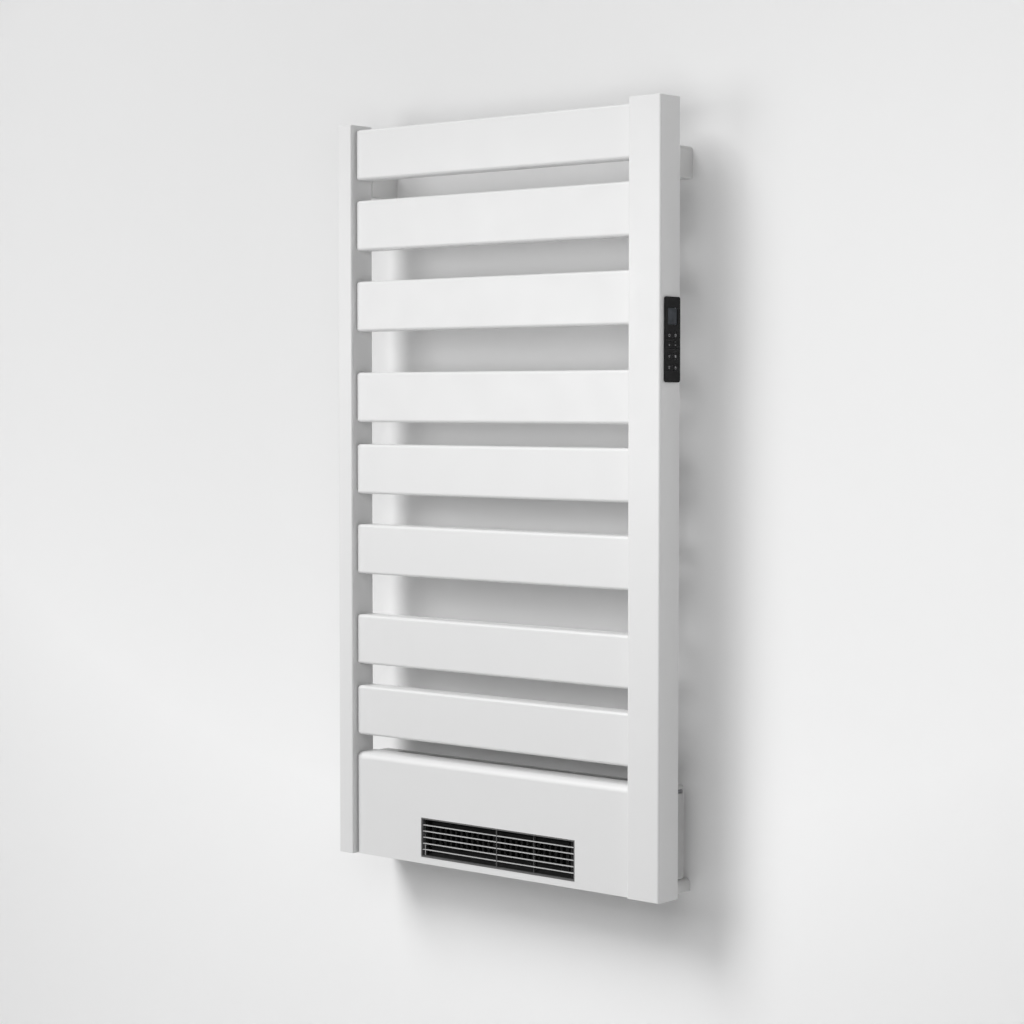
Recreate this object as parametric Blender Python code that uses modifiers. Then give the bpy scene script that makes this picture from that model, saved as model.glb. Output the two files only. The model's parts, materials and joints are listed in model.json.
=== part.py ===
"""Flat-slat electric towel warmer with a fan heater at its foot.

The frame is two square uprights joined by eight flat slats. Behind and below
the slats sits a fan unit: a front cover with an air outlet, a rear casing that
takes air in at its top through a slide-out filter, a cross-flow fan with its
motor, and a heater. A keypad is let into the right upright's outer side, and
four spacers hold everything off the wall.

Frame: metres, +Z up. The wall is the plane Y = 0 and the front faces -Y.
X = 0 is the middle of the width, and Z = 0 is the uprights' lower end.
"""

import math

import bmesh
import bpy
from mathutils import Matrix, Vector

# Driving sizes, in metres
WIDTH = 0.552
HEIGHT = 1.000
DEPTH = 0.092
GAP = 0.0003

RIGHT_UPRIGHT_WIDTH = 0.050
LEFT_UPRIGHT_WIDTH = 0.0265
UPRIGHT_DEPTH = 0.042
UPRIGHT_WALL = 0.0015
UPRIGHT_ROUNDING = 0.0025
CAP_THICKNESS = 0.002
CAP_PLUG = 0.003

SLAT_TOPS = (0.993, 0.897, 0.787, 0.663, 0.565, 0.455, 0.331, 0.233)
SLAT_HEIGHT = 0.068
SLAT_SETBACK = 0.008
SLAT_DEPTH = 0.031
SLAT_WALL = 0.0012
SLAT_ROUNDING = 0.004
WIRE_PORT = (0.012, 0.008)
ELEMENT_SIZE = (0.420, 0.006, 0.016)

COVER_TOP = 0.141
COVER_WALL = 0.0016
COVER_ROUNDING = 0.010
WINDOW_CENTRE_X = 0.003
WINDOW_SIZE = (0.266, 0.0536)
WINDOW_BOTTOM = 0.0087
GRILLE_RIM = 0.0024
GRILLE_BARS = 5
GRILLE_BAR = 0.0017
GRILLE_DEPTH = 0.006

CASING_HALF_WIDTH = 0.258
CASING_BACK = -0.0123
CASING_BOTTOM = 0.0178
CASING_TOP = 0.138
CASING_WALL = 0.002

FILTER_BOTTOM = 0.128
FILTER_THICKNESS = 0.005
FILTER_Y = (-0.046, -0.018)
FILTER_LEFT = -0.225
FILTER_CELLS = 9

FAN_AXIS_Y = -0.040
FAN_AXIS_Z = 0.088
FAN_RADIUS = 0.020
FAN_SHELL = 0.0032
FAN_LENGTH = 0.240
FAN_BLADES = 18
SHAFT_RADIUS = 0.003
SCROLL_HALF_LENGTH = 0.126
SCROLL_CLEARANCE = 0.0016
SCROLL_GROWTH = 0.036
SHEET = 0.0015
MOTOR_RADIUS = 0.019
MOTOR_LENGTH = 0.032

BEZEL_Y = (-0.0845, -0.0529)
BEZEL_Z = (0.647, 0.7527)
BEZEL_THICKNESS = 0.002
TUB_INSET = 0.0015
TUB_DEPTH = 0.0145
DISPLAY_Y = (-0.0785, -0.0596)
DISPLAY_Z = (0.7183, 0.7389)
KEY_COLUMNS = (-0.0762, -0.0634)
KEY_ROWS = (0.7050, 0.6930, 0.6790, 0.6652)
KEY_SIZE = (0.0090, 0.0080)
KEY_PROUD = 0.0004
KEY_THICKNESS = 0.0042

UPPER_SPACER = (0.022, 0.041)
UPPER_SPACER_BOTTOM = 0.903
LOWER_SPACER = (0.020, 0.0172)
SPACER_INSET = 0.018
WALL_PLATE = 0.003

# Planes that several pieces share
LEFT = -WIDTH / 2
RIGHT = WIDTH / 2
FRONT = -DEPTH
UPRIGHT_BACK = FRONT + UPRIGHT_DEPTH
INNER_LEFT = LEFT + LEFT_UPRIGHT_WIDTH
INNER_RIGHT = RIGHT - RIGHT_UPRIGHT_WIDTH
SLAT_FRONT = FRONT + SLAT_SETBACK
SLAT_BACK = SLAT_FRONT + SLAT_DEPTH
BEZEL_FRONT = RIGHT + GAP + BEZEL_THICKNESS

# Finishes: colour, roughness, metallic
FINISHES = {
    "white_enamel": ((0.80, 0.80, 0.80), 0.38, 0.0),
    "white_plastic": ((0.76, 0.76, 0.76), 0.45, 0.0),
    "grey_plastic": ((0.33, 0.33, 0.33), 0.50, 0.0),
    "black_gloss": ((0.010, 0.010, 0.012), 0.12, 0.0),
    "display_glass": ((0.050, 0.065, 0.085), 0.10, 0.0),
    "black_plastic": ((0.020, 0.020, 0.020), 0.50, 0.0),
    "steel": ((0.55, 0.55, 0.56), 0.35, 1.0),
    "aluminium": ((0.75, 0.75, 0.76), 0.40, 1.0),
    "circuit_board": ((0.03, 0.16, 0.07), 0.45, 0.0),
}


def clear_scene():
    """Remove whatever the file already holds."""
    for old in list(bpy.data.objects):
        bpy.data.objects.remove(old, do_unlink=True)


def new_collection(name):
    collection = bpy.data.collections.new(name)
    bpy.context.scene.collection.children.link(collection)
    return collection


def make_finish(name):
    """One Principled material with the finish's colour, roughness and metal."""
    colour, roughness, metallic = FINISHES[name]
    material = bpy.data.materials.new(name)
    material.use_nodes = True
    shader = material.node_tree.nodes["Principled BSDF"]
    shader.inputs["Base Color"].default_value = (*colour, 1.0)
    shader.inputs["Roughness"].default_value = roughness
    shader.inputs["Metallic"].default_value = metallic
    return material


clear_scene()
PARTS = new_collection("towel_warmer")
CUTTERS = new_collection("cutters")
MATERIALS = {name: make_finish(name) for name in FINISHES}


def add_object(name, mesh, finish, location):
    """Link a mesh as a piece, or as a hidden cutter when it has no finish."""
    piece = bpy.data.objects.new(name, mesh)
    piece.location = location
    if finish is None:
        CUTTERS.objects.link(piece)
        piece.hide_render = True
        piece.display_type = "WIRE"
    else:
        PARTS.objects.link(piece)
        mesh.materials.append(MATERIALS[finish])
    return piece


def block(name, low, high, finish=None, rounding=0.0, segments=3, along=None):
    """A box between two corners. Its edges can be rounded, all of them or
    only those along one axis (0 = X, 1 = Y, 2 = Z)."""
    low = Vector(low)
    high = Vector(high)
    shape = bmesh.new()
    bmesh.ops.create_cube(shape, size=1.0)
    bmesh.ops.scale(shape, vec=high - low, verts=shape.verts)
    if rounding:
        edges = [edge for edge in shape.edges if along is None or runs_along(edge, along)]
        bmesh.ops.bevel(shape, geom=edges, offset=rounding, offset_type="OFFSET",
                        segments=segments, profile=0.5, affect="EDGES")
    mesh = bpy.data.meshes.new(name)
    shape.to_mesh(mesh)
    shape.free()
    if rounding:
        mesh.shade_smooth()
        mesh.set_sharp_from_angle(angle=math.radians(40))
    return add_object(name, mesh, finish, (low + high) / 2)


def runs_along(edge, axis):
    """True where an edge is parallel to an axis."""
    direction = edge.verts[1].co - edge.verts[0].co
    return abs(direction[axis]) > 0.999 * direction.length


def rod(name, start, end, radius, finish=None, sides=24):
    """A closed cylinder from one point to another."""
    start = Vector(start)
    end = Vector(end)
    shape = bmesh.new()
    bmesh.ops.create_cone(shape, cap_ends=True, segments=sides, radius1=radius,
                          radius2=radius, depth=(end - start).length)
    mesh = bpy.data.meshes.new(name)
    shape.to_mesh(mesh)
    shape.free()
    mesh.shade_smooth()
    mesh.set_sharp_from_angle(angle=math.radians(40))
    piece = add_object(name, mesh, finish, (start + end) / 2)
    piece.rotation_mode = "QUATERNION"
    piece.rotation_quaternion = Vector((0, 0, 1)).rotation_difference(end - start)
    return piece


def combine(piece, others, operation):
    """Cut pieces away from a piece, or join them to it."""
    for other in others:
        boolean = piece.modifiers.new(other.name, "BOOLEAN")
        boolean.operation = operation
        boolean.solver = "EXACT"
        boolean.object = other


def cut(piece, *cutters):
    combine(piece, cutters, "DIFFERENCE")


def join(piece, *additions):
    combine(piece, additions, "UNION")


def make_upright(side, low_x, high_x):
    """A square steel tube, closed at each end by a plug-in cap."""
    bottom = CAP_THICKNESS + GAP
    top = HEIGHT - CAP_THICKNESS - GAP
    tube = block(f"{side}_upright", (low_x, FRONT, bottom), (high_x, UPRIGHT_BACK, top),
                 "white_enamel", UPRIGHT_ROUNDING, 3, along=2)
    inner_low = (low_x + UPRIGHT_WALL, FRONT + UPRIGHT_WALL, -0.01)
    inner_high = (high_x - UPRIGHT_WALL, UPRIGHT_BACK - UPRIGHT_WALL, HEIGHT + 0.01)
    cut(tube, block(f"{side}_bore", inner_low, inner_high))

    plug = UPRIGHT_WALL + GAP
    for end, plate_z, plug_z in (
        ("top", (top + GAP, HEIGHT), (top - CAP_PLUG, top + 0.001)),
        ("bottom", (0.0, bottom - GAP), (bottom - 0.001, bottom + CAP_PLUG)),
    ):
        cap = block(f"{side}_{end}_cap", (low_x, FRONT, plate_z[0]), (high_x, UPRIGHT_BACK, plate_z[1]),
                    "white_enamel", UPRIGHT_ROUNDING, 3, along=2)
        join(cap, block(f"{side}_{end}_plug", (low_x + plug, FRONT + plug, plug_z[0]),
                        (high_x - plug, UPRIGHT_BACK - plug, plug_z[1])))
    return tube


def slat_middle(top):
    """The middle of a slat's cross-section, as (y, z)."""
    return (SLAT_FRONT + SLAT_BACK) / 2, top - SLAT_HEIGHT / 2


def wire_port(name, top, low_x, high_x):
    """A cutter for the hole that a slat's heater wires pass through."""
    middle_y, middle_z = slat_middle(top)
    half_y = WIRE_PORT[1] / 2
    half_z = WIRE_PORT[0] / 2
    return block(name, (low_x, middle_y - half_y, middle_z - half_z),
                 (high_x, middle_y + half_y, middle_z + half_z))


def make_slat(number, top):
    """A flat steel tube with rounded edges, and the heater bar inside it."""
    low = Vector((INNER_LEFT + GAP, SLAT_FRONT, top - SLAT_HEIGHT))
    high = Vector((INNER_RIGHT - GAP, SLAT_BACK, top))
    wall = Vector((SLAT_WALL, SLAT_WALL, SLAT_WALL))
    slat = block(f"slat_{number}", low, high, "white_enamel", SLAT_ROUNDING, 3)
    hollow = block(f"slat_{number}_hollow", low + wall, high - wall, None,
                   SLAT_ROUNDING - SLAT_WALL, 3)
    cut(slat, hollow, wire_port(f"slat_{number}_port", top, high.x - 0.006, high.x + 0.006))

    middle_x = (low.x + high.x) / 2
    middle_z = slat_middle(top)[1]
    length, thickness, height = ELEMENT_SIZE
    front = SLAT_FRONT + SLAT_WALL + GAP
    block(f"slat_element_{number}", (middle_x - length / 2, front, middle_z - height / 2),
          (middle_x + length / 2, front + thickness, middle_z + height / 2), "aluminium",
          0.0015, 2, along=0)


def make_frame():
    """Both uprights with their caps, and the slats between them."""
    make_upright("left", LEFT, INNER_LEFT)
    right = make_upright("right", INNER_RIGHT, RIGHT)
    for number, top in enumerate(SLAT_TOPS, start=1):
        make_slat(number, top)
        cut(right, wire_port(f"right_port_{number}", top, INNER_RIGHT - 0.003, INNER_RIGHT + 0.004))
    tub_low, tub_high = tub_corners(GAP)
    cut(right, block("keypad_cutout", tub_low, tub_high))


def make_front_cover():
    """A folded sheet cover, open at the back and on its lower rear edge, with
    a rounded top and a window for the outlet grille."""
    low = Vector((INNER_LEFT + GAP, SLAT_FRONT, 0.0))
    high = Vector((INNER_RIGHT - GAP, UPRIGHT_BACK - GAP, COVER_TOP))
    cover = rounded_cover("front_cover", low, high, COVER_ROUNDING, "white_enamel")
    wall = Vector((COVER_WALL, COVER_WALL, COVER_WALL))
    inside_low = low + wall
    inside_high = high - wall
    inside_high.y = high.y + 0.02
    inside = rounded_cover("cover_inside", inside_low, inside_high, COVER_ROUNDING - COVER_WALL, None)

    half = WINDOW_SIZE[0] / 2
    window_low = (WINDOW_CENTRE_X - half, SLAT_FRONT - 0.01, WINDOW_BOTTOM)
    window_high = (WINDOW_CENTRE_X + half, SLAT_FRONT + 0.004, WINDOW_BOTTOM + WINDOW_SIZE[1])
    cut(cover, inside, block("outlet_window", window_low, window_high))


def rounded_cover(name, low, high, rounding, finish):
    """A box whose upper front edge is rounded, and its upper end corners too."""
    shape = bmesh.new()
    bmesh.ops.create_cube(shape, size=1.0)
    bmesh.ops.scale(shape, vec=high - low, verts=shape.verts)
    half = (high - low) / 2
    layer = shape.edges.layers.float.new("bevel_weight_edge")
    upper_front = [edge for edge in shape.edges
                   if all(vert.co.y < -0.99 * half.y and vert.co.z > 0.99 * half.z for vert in edge.verts)]
    upper_ends = [edge for edge in shape.edges
                  if runs_along(edge, 1) and all(vert.co.z > 0.99 * half.z for vert in edge.verts)]
    front_ends = [edge for edge in shape.edges
                  if runs_along(edge, 2) and all(vert.co.y < -0.99 * half.y for vert in edge.verts)]
    for edge in upper_front:
        edge[layer] = 1.0
    for edge in upper_ends + front_ends:
        edge[layer] = 0.4
    mesh = bpy.data.meshes.new(name)
    shape.to_mesh(mesh)
    shape.free()
    mesh.shade_smooth()
    mesh.set_sharp_from_angle(angle=math.radians(40))
    cover = add_object(name, mesh, finish, (low + high) / 2)
    bevel = cover.modifiers.new("rounding", "BEVEL")
    bevel.width = rounding
    bevel.segments = 5
    bevel.limit_method = "WEIGHT"
    bevel.offset_type = "OFFSET"
    return cover


def make_outlet_grille():
    """A frame that fills the cover's window, crossed by five thin bars and one
    upright bar."""
    half = WINDOW_SIZE[0] / 2 - GAP
    low = Vector((WINDOW_CENTRE_X - half, SLAT_FRONT + 0.0002, WINDOW_BOTTOM + GAP))
    high = Vector((WINDOW_CENTRE_X + half, SLAT_FRONT + GRILLE_DEPTH,
                   WINDOW_BOTTOM + WINDOW_SIZE[1] - GAP))
    grille = block("outlet_grille", low, high, "grey_plastic")
    inner_height = high.z - low.z - 2 * GRILLE_RIM
    slot_height = (inner_height - GRILLE_BARS * GRILLE_BAR) / (GRILLE_BARS + 1)
    middle = GRILLE_BAR / 2
    for row in range(GRILLE_BARS + 1):
        bottom = low.z + GRILLE_RIM + row * (slot_height + GRILLE_BAR)
        for side, slot_x in (("left", (low.x + GRILLE_RIM, WINDOW_CENTRE_X - middle)),
                             ("right", (WINDOW_CENTRE_X + middle, high.x - GRILLE_RIM))):
            cut(grille, block(f"grille_slot_{side}_{row}", (slot_x[0], low.y - 0.01, bottom),
                              (slot_x[1], high.y + 0.01, bottom + slot_height)))


def make_rear_casing():
    """A box open at the front. Air comes in through its top, over the filter,
    whose rails it carries, and the filter comes out through its right side."""
    low = Vector((-CASING_HALF_WIDTH, UPRIGHT_BACK + GAP, CASING_BOTTOM))
    high = Vector((CASING_HALF_WIDTH, CASING_BACK, CASING_TOP))
    casing = block("rear_casing", low, high, "white_plastic", 0.004, 3)
    inside_low = (low.x + CASING_WALL, low.y - 0.02, low.z + CASING_WALL)
    inside_high = (high.x - CASING_WALL, high.y - CASING_WALL, high.z - CASING_WALL)
    cut(casing, block("casing_inside", inside_low, inside_high),
        block("casing_mouth", (low.x - 0.01, low.y - 0.02, low.z - 0.01),
              (high.x + 0.01, low.y + 0.0042, high.z + 0.01)))

    lip = low.y + 0.0042
    join(casing, block("casing_lip", (low.x + 0.0042, low.y, high.z - CASING_WALL),
                       (high.x - 0.0042, lip + 0.002, high.z - 0.0002)))
    shelf_top = FILTER_BOTTOM - GAP
    shelf_x = (FILTER_LEFT - 0.004, high.x - 0.001)
    rear_shelf = block("rear_shelf", (shelf_x[0], FILTER_Y[1] - 0.003, shelf_top - 0.0016),
                       (shelf_x[1], high.y - 0.001, shelf_top))
    front_shelf = block("front_shelf", (shelf_x[0], low.y, shelf_top - 0.0016),
                        (shelf_x[1], FILTER_Y[0] + 0.003, shelf_top))
    front_web = block("front_web", (shelf_x[0], low.y, shelf_top - 0.0016),
                      (shelf_x[1], FILTER_Y[0] - 0.001, high.z - 0.0002))
    join(casing, rear_shelf, front_shelf, front_web)

    slot = block("filter_slot", (high.x - 0.006, FILTER_Y[0] - GAP, FILTER_BOTTOM - GAP),
                 (high.x + 0.01, FILTER_Y[1] + GAP, FILTER_BOTTOM + FILTER_THICKNESS + GAP))
    cut(casing, slot)
    cells = filter_cells(0.003)
    for index, (cell_low, cell_high) in enumerate(cells):
        cut(casing, block(f"intake_{index}", (cell_low, FILTER_Y[0] + 0.003, high.z - 0.004),
                          (cell_high, FILTER_Y[1] - 0.003, high.z + 0.01)))
    gland_x, gland_y = gland_place()
    cut(casing, rod("gland_hole", (gland_x, gland_y, low.z - 0.01), (gland_x, gland_y, low.z + 0.01),
                    0.0078 + GAP))


def filter_cells(bar):
    """Even stretches along the filter, with a bar between each two."""
    left = FILTER_LEFT + 0.004
    right = CASING_HALF_WIDTH - 0.014
    pitch = (right - left) / FILTER_CELLS
    return [(left + index * pitch + bar / 2, left + (index + 1) * pitch - bar / 2)
            for index in range(FILTER_CELLS)]


def make_filter_tray():
    """The slide-out dust filter: a flat frame of cells with a finger grip."""
    low = Vector((FILTER_LEFT, FILTER_Y[0], FILTER_BOTTOM))
    high = Vector((CASING_HALF_WIDTH - 0.0005, FILTER_Y[1], FILTER_BOTTOM + FILTER_THICKNESS))
    tray = block("filter_tray", low, high, "grey_plastic")
    for index, (cell_low, cell_high) in enumerate(filter_cells(0.002)):
        cut(tray, block(f"filter_cell_{index}", (cell_low, low.y + 0.003, low.z - 0.01),
                        (cell_high, high.y - 0.003, high.z + 0.01)))


def sheet(name, route, low_x, high_x, finish=None):
    """A strip that follows a route of (y, z) points, with a wall's thickness."""
    shape = bmesh.new()
    verts = [shape.verts.new((low_x, y, z)) for y, z in route]
    edges = [shape.edges.new(pair) for pair in zip(verts, verts[1:])]
    swept = bmesh.ops.extrude_edge_only(shape, edges=edges)["geom"]
    moved = [item for item in swept if isinstance(item, bmesh.types.BMVert)]
    bmesh.ops.translate(shape, verts=moved, vec=(high_x - low_x, 0, 0))
    mesh = bpy.data.meshes.new(name)
    shape.to_mesh(mesh)
    shape.free()
    strip = add_object(name, mesh, finish, (0, 0, 0))
    solidify = strip.modifiers.new("wall", "SOLIDIFY")
    solidify.thickness = SHEET
    solidify.offset = 0.0
    return strip


def scroll_route():
    """The duct's rear wall: around the back of the fan, widening as it goes,
    then forwards and down to the outlet's sill."""
    route = []
    steps = 10
    for step in range(steps + 1):
        angle = math.radians(55 - 145 * step / steps)
        radius = FAN_RADIUS + SCROLL_CLEARANCE + SCROLL_GROWTH * (step / steps) ** 3.2
        route.append((FAN_AXIS_Y + radius * math.cos(angle), FAN_AXIS_Z + radius * math.sin(angle)))
    route.append((SLAT_FRONT + GRILLE_DEPTH + 0.0015, WINDOW_BOTTOM + 0.0012))
    return route


def make_fan_scroll():
    """The fan's duct: rear wall, front tongue, and an end plate at each end."""
    reach = SCROLL_HALF_LENGTH
    scroll = sheet("fan_scroll", scroll_route(), -reach, reach, "black_plastic")
    window_top = WINDOW_BOTTOM + WINDOW_SIZE[1]
    tongue = sheet("tongue", [(FAN_AXIS_Y - FAN_RADIUS - 0.0030, FAN_AXIS_Z + 0.002),
                              (FAN_AXIS_Y - FAN_RADIUS - 0.0040, FAN_AXIS_Z - 0.012),
                              (SLAT_FRONT + GRILLE_DEPTH + 0.0015, window_top - 0.0008)],
                   -reach, reach)
    plates = []
    for side, middle in (("left", -reach), ("right", reach)):
        plates.append(block(f"scroll_plate_{side}",
                            (middle - SHEET, SLAT_FRONT + GRILLE_DEPTH + 0.0008, WINDOW_BOTTOM + 0.0005),
                            (middle + SHEET, CASING_BACK - CASING_WALL - 0.0012, FAN_AXIS_Z + 0.034)))
    join(scroll, tongue, *plates)
    notch = block("scroll_notch", (-0.2, UPRIGHT_BACK - 0.0008, -0.01),
                  (0.2, 0.0, CASING_BOTTOM + CASING_WALL + 0.0006))
    left_hole = rod("bearing_seat", (-reach - 0.01, FAN_AXIS_Y, FAN_AXIS_Z),
                    (-reach + 0.01, FAN_AXIS_Y, FAN_AXIS_Z), 0.008 + GAP)
    right_hole = rod("shaft_hole", (reach - 0.01, FAN_AXIS_Y, FAN_AXIS_Z),
                     (reach + 0.01, FAN_AXIS_Y, FAN_AXIS_Z), 0.0055)
    cut(scroll, notch, left_hole, right_hole)


def fan_axis(x):
    """A point on the fan's axis."""
    return (x, FAN_AXIS_Y, FAN_AXIS_Z)


def make_fan():
    """The cross-flow impeller and its shaft, on an empty at their axis."""
    axis = bpy.data.objects.new("fan_axis", None)
    axis.location = fan_axis(0)
    PARTS.objects.link(axis)

    half = FAN_LENGTH / 2
    impeller = rod("fan_impeller", fan_axis(-half), fan_axis(half), FAN_RADIUS, "black_plastic", 36)
    inner = FAN_RADIUS - FAN_SHELL
    ring = 0.003
    for side, low_x, high_x in (("left", -half + ring, -ring / 2), ("right", ring / 2, half - ring)):
        cut(impeller, rod(f"impeller_{side}_hollow", fan_axis(low_x), fan_axis(high_x), inner, None, 36),
            blade_gaps(f"impeller_{side}_gaps", low_x, high_x))
    cut(impeller, rod("impeller_bore", fan_axis(-half - 0.01), fan_axis(half + 0.01),
                      SHAFT_RADIUS + GAP, None, 16))
    reach = SCROLL_HALF_LENGTH
    shaft = rod("fan_shaft", fan_axis(-reach - 0.004), fan_axis(reach + MOTOR_LENGTH + 0.001),
                SHAFT_RADIUS, "steel", 16)
    for piece in (impeller, shaft, make_motor()):
        hold_in_place(piece, axis)


def blade_gaps(name, low_x, high_x):
    """A ring of slot cutters, one between each two blades."""
    shape = bmesh.new()
    width = 0.0036
    depth = FAN_SHELL + 0.004
    for index in range(FAN_BLADES):
        made = bmesh.ops.create_cube(shape, size=1.0)["verts"]
        bmesh.ops.scale(shape, vec=(high_x - low_x, width, depth), verts=made)
        bmesh.ops.translate(shape, vec=(0, 0, FAN_RADIUS - FAN_SHELL / 2), verts=made)
        turn = Matrix.Rotation(2 * math.pi * (index + 0.5) / FAN_BLADES, 3, "X")
        bmesh.ops.rotate(shape, cent=(0, 0, 0), matrix=turn, verts=made)
    mesh = bpy.data.meshes.new(name)
    shape.to_mesh(mesh)
    shape.free()
    return add_object(name, mesh, None, fan_axis((low_x + high_x) / 2))


def hold_in_place(piece, parent):
    """Parent a piece without moving it."""
    piece.parent = parent
    piece.matrix_parent_inverse = Matrix.Translation(parent.location).inverted()


def make_motor():
    """The motor's can, open towards the fan, and the rotor that turns in it."""
    start = SCROLL_HALF_LENGTH + SHEET + GAP
    end = start + MOTOR_LENGTH
    can = rod("motor_can", fan_axis(start), fan_axis(end), MOTOR_RADIUS, "steel", 32)
    cut(can, rod("can_hollow", fan_axis(start - 0.01), fan_axis(end - 0.004), MOTOR_RADIUS - 0.003, None, 32),
        rod("can_bore", fan_axis(start - 0.01), fan_axis(end + 0.01), SHAFT_RADIUS + GAP, None, 16))
    rotor = rod("motor_rotor", fan_axis(start + 0.003), fan_axis(end - 0.007),
                MOTOR_RADIUS - 0.0045, "steel", 24)
    cut(rotor, rod("rotor_bore", fan_axis(start - 0.01), fan_axis(end + 0.01), SHAFT_RADIUS + GAP, None, 16))
    return rotor


def make_bearing():
    """The shaft's far bearing, seated in the duct's left end plate."""
    end = -SCROLL_HALF_LENGTH
    bearing = rod("fan_bearing", fan_axis(end - 0.003), fan_axis(end + 0.003), 0.008, "steel", 24)
    cut(bearing, rod("bearing_bore", fan_axis(end - 0.01), fan_axis(end + 0.01), SHAFT_RADIUS + GAP, None, 16))


def make_heater():
    """The finned heater in the duct, its frame, and the thermal cut-out."""
    half = 0.119
    front = SLAT_FRONT + GRILLE_DEPTH + 0.0042
    back = front + 0.010
    bottom = WINDOW_BOTTOM + 0.0095
    top = WINDOW_BOTTOM + WINDOW_SIZE[1] - 0.0055
    frame = block("heater_frame", (-half, front, bottom), (half, back, top), "black_plastic")
    rim = 0.004
    cut(frame, block("heater_opening", (-half + rim, front - 0.01, bottom + rim),
                     (half - rim, back + 0.01, top - rim)))
    core_low = Vector((-half + rim + GAP, front + 0.001, bottom + rim + GAP))
    core_high = Vector((half - rim - GAP, back - 0.001, top - rim - GAP))
    core = block("heater_core", core_low, core_high, "aluminium")
    fins = 24
    pitch = (core_high.x - core_low.x) / fins
    for index in range(fins):
        middle = core_low.x + (index + 0.5) * pitch
        cut(core, block(f"fin_gap_{index}", (middle - 0.3 * pitch, core_low.y - 0.01, core_low.z + 0.003),
                        (middle + 0.3 * pitch, core_high.y + 0.01, core_high.z - 0.003)))
    side_x = SCROLL_HALF_LENGTH + SHEET + GAP
    rod("thermal_cutout", (-side_x - 0.006, front + 0.006, 0.040), (-side_x, front + 0.006, 0.040), 0.006,
        "steel", 20)


def gland_place():
    """Where the supply cable comes in through the casing's floor, as (x, y)."""
    return 0.205, -0.030


def make_electrics():
    """The power board with its parts, the terminal block and the cable gland."""
    board_y = (-0.0640, -0.0624)
    board = block("power_board", (-0.235, board_y[0], 0.024), (-0.160, board_y[1], 0.116), "circuit_board")
    join(board, block("relay", (-0.228, board_y[1] - 0.0005, 0.085), (-0.208, board_y[1] + 0.015, 0.105)),
         block("converter", (-0.200, board_y[1] - 0.0005, 0.080), (-0.170, board_y[1] + 0.017, 0.104)),
         rod("capacitor", (-0.215, board_y[1] - 0.0005, 0.055), (-0.215, board_y[1] + 0.012, 0.055), 0.006,
             None, 16),
         block("heat_sink", (-0.198, board_y[1] - 0.0005, 0.032), (-0.168, board_y[1] + 0.010, 0.044)))

    terminal = block("terminal_block", (0.182, -0.060, 0.078), (0.218, -0.042, 0.092), "white_plastic")
    for index in range(3):
        middle = 0.188 + 0.012 * index
        cut(terminal, block(f"terminal_way_{index}", (middle - 0.003, -0.070, 0.082),
                            (middle + 0.003, -0.050, 0.088)))

    x, y = gland_place()
    floor = CASING_BOTTOM
    gland = rod("cable_gland", (x, y, floor - 0.012), (x, y, floor + 0.012), 0.0078, "black_plastic", 24)
    join(gland, rod("gland_collar", (x, y, floor - 0.008), (x, y, floor - GAP), 0.0105, None, 24))
    cut(gland, rod("gland_bore", (x, y, floor - 0.03), (x, y, floor + 0.03), 0.0042, None, 20))


def tub_corners(clearance):
    """The corners of the keypad's body, which passes through the upright."""
    low = (RIGHT - TUB_DEPTH, BEZEL_Y[0] + TUB_INSET - clearance, BEZEL_Z[0] + TUB_INSET - clearance)
    high = (RIGHT + GAP + 0.001, BEZEL_Y[1] - TUB_INSET + clearance, BEZEL_Z[1] - TUB_INSET + clearance)
    return low, high


def make_keypad():
    """The bezel with its body, the board, the display and eight keys."""
    plate_back = RIGHT + GAP
    bezel = block("control_bezel", (plate_back, BEZEL_Y[0], BEZEL_Z[0]), (BEZEL_FRONT, BEZEL_Y[1], BEZEL_Z[1]),
                  "black_gloss", 0.003, 3, along=0)
    tub_low, tub_high = tub_corners(0.0)
    join(bezel, block("keypad_tub", tub_low, tub_high))
    wall = 0.0015
    cut(bezel, block("tub_inside", (tub_low[0] - 0.01, tub_low[1] + wall, tub_low[2] + wall),
                     (plate_back, tub_high[1] - wall, tub_high[2] - wall)),
        block("display_hole", (plate_back - 0.01, DISPLAY_Y[0] - GAP, DISPLAY_Z[0] - GAP),
              (BEZEL_FRONT + 0.01, DISPLAY_Y[1] + GAP, DISPLAY_Z[1] + GAP)))

    board_front = RIGHT - 0.0045
    board_edge = wall + GAP
    block("control_board", (board_front - 0.0016, tub_low[1] + board_edge, tub_low[2] + board_edge),
          (board_front, tub_high[1] - board_edge, tub_high[2] - board_edge), "circuit_board")
    block("display_window", (board_front + GAP, DISPLAY_Y[0], DISPLAY_Z[0]),
          (BEZEL_FRONT - 0.0003, DISPLAY_Y[1], DISPLAY_Z[1]), "display_glass")

    number = 0
    for row in KEY_ROWS:
        for column in KEY_COLUMNS:
            number += 1
            make_key(number, bezel, column, row)


def make_key(number, bezel, middle_y, middle_z):
    """A key that slides through its own hole in the bezel."""
    half_y = KEY_SIZE[0] / 2
    half_z = KEY_SIZE[1] / 2
    face = BEZEL_FRONT + KEY_PROUD
    axis = bpy.data.objects.new(f"key_{number}_axis", None)
    axis.location = (face, middle_y, middle_z)
    PARTS.objects.link(axis)
    key = block(f"key_{number}", (face - KEY_THICKNESS, middle_y - half_y, middle_z - half_z),
                (face, middle_y + half_y, middle_z + half_z), "black_gloss", 0.0012, 2, along=0)
    hold_in_place(key, axis)
    cut(bezel, block(f"key_hole_{number}", (RIGHT - 0.001, middle_y - half_y - GAP, middle_z - half_z - GAP),
                     (BEZEL_FRONT + 0.01, middle_y + half_y + GAP, middle_z + half_z + GAP)))


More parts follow.
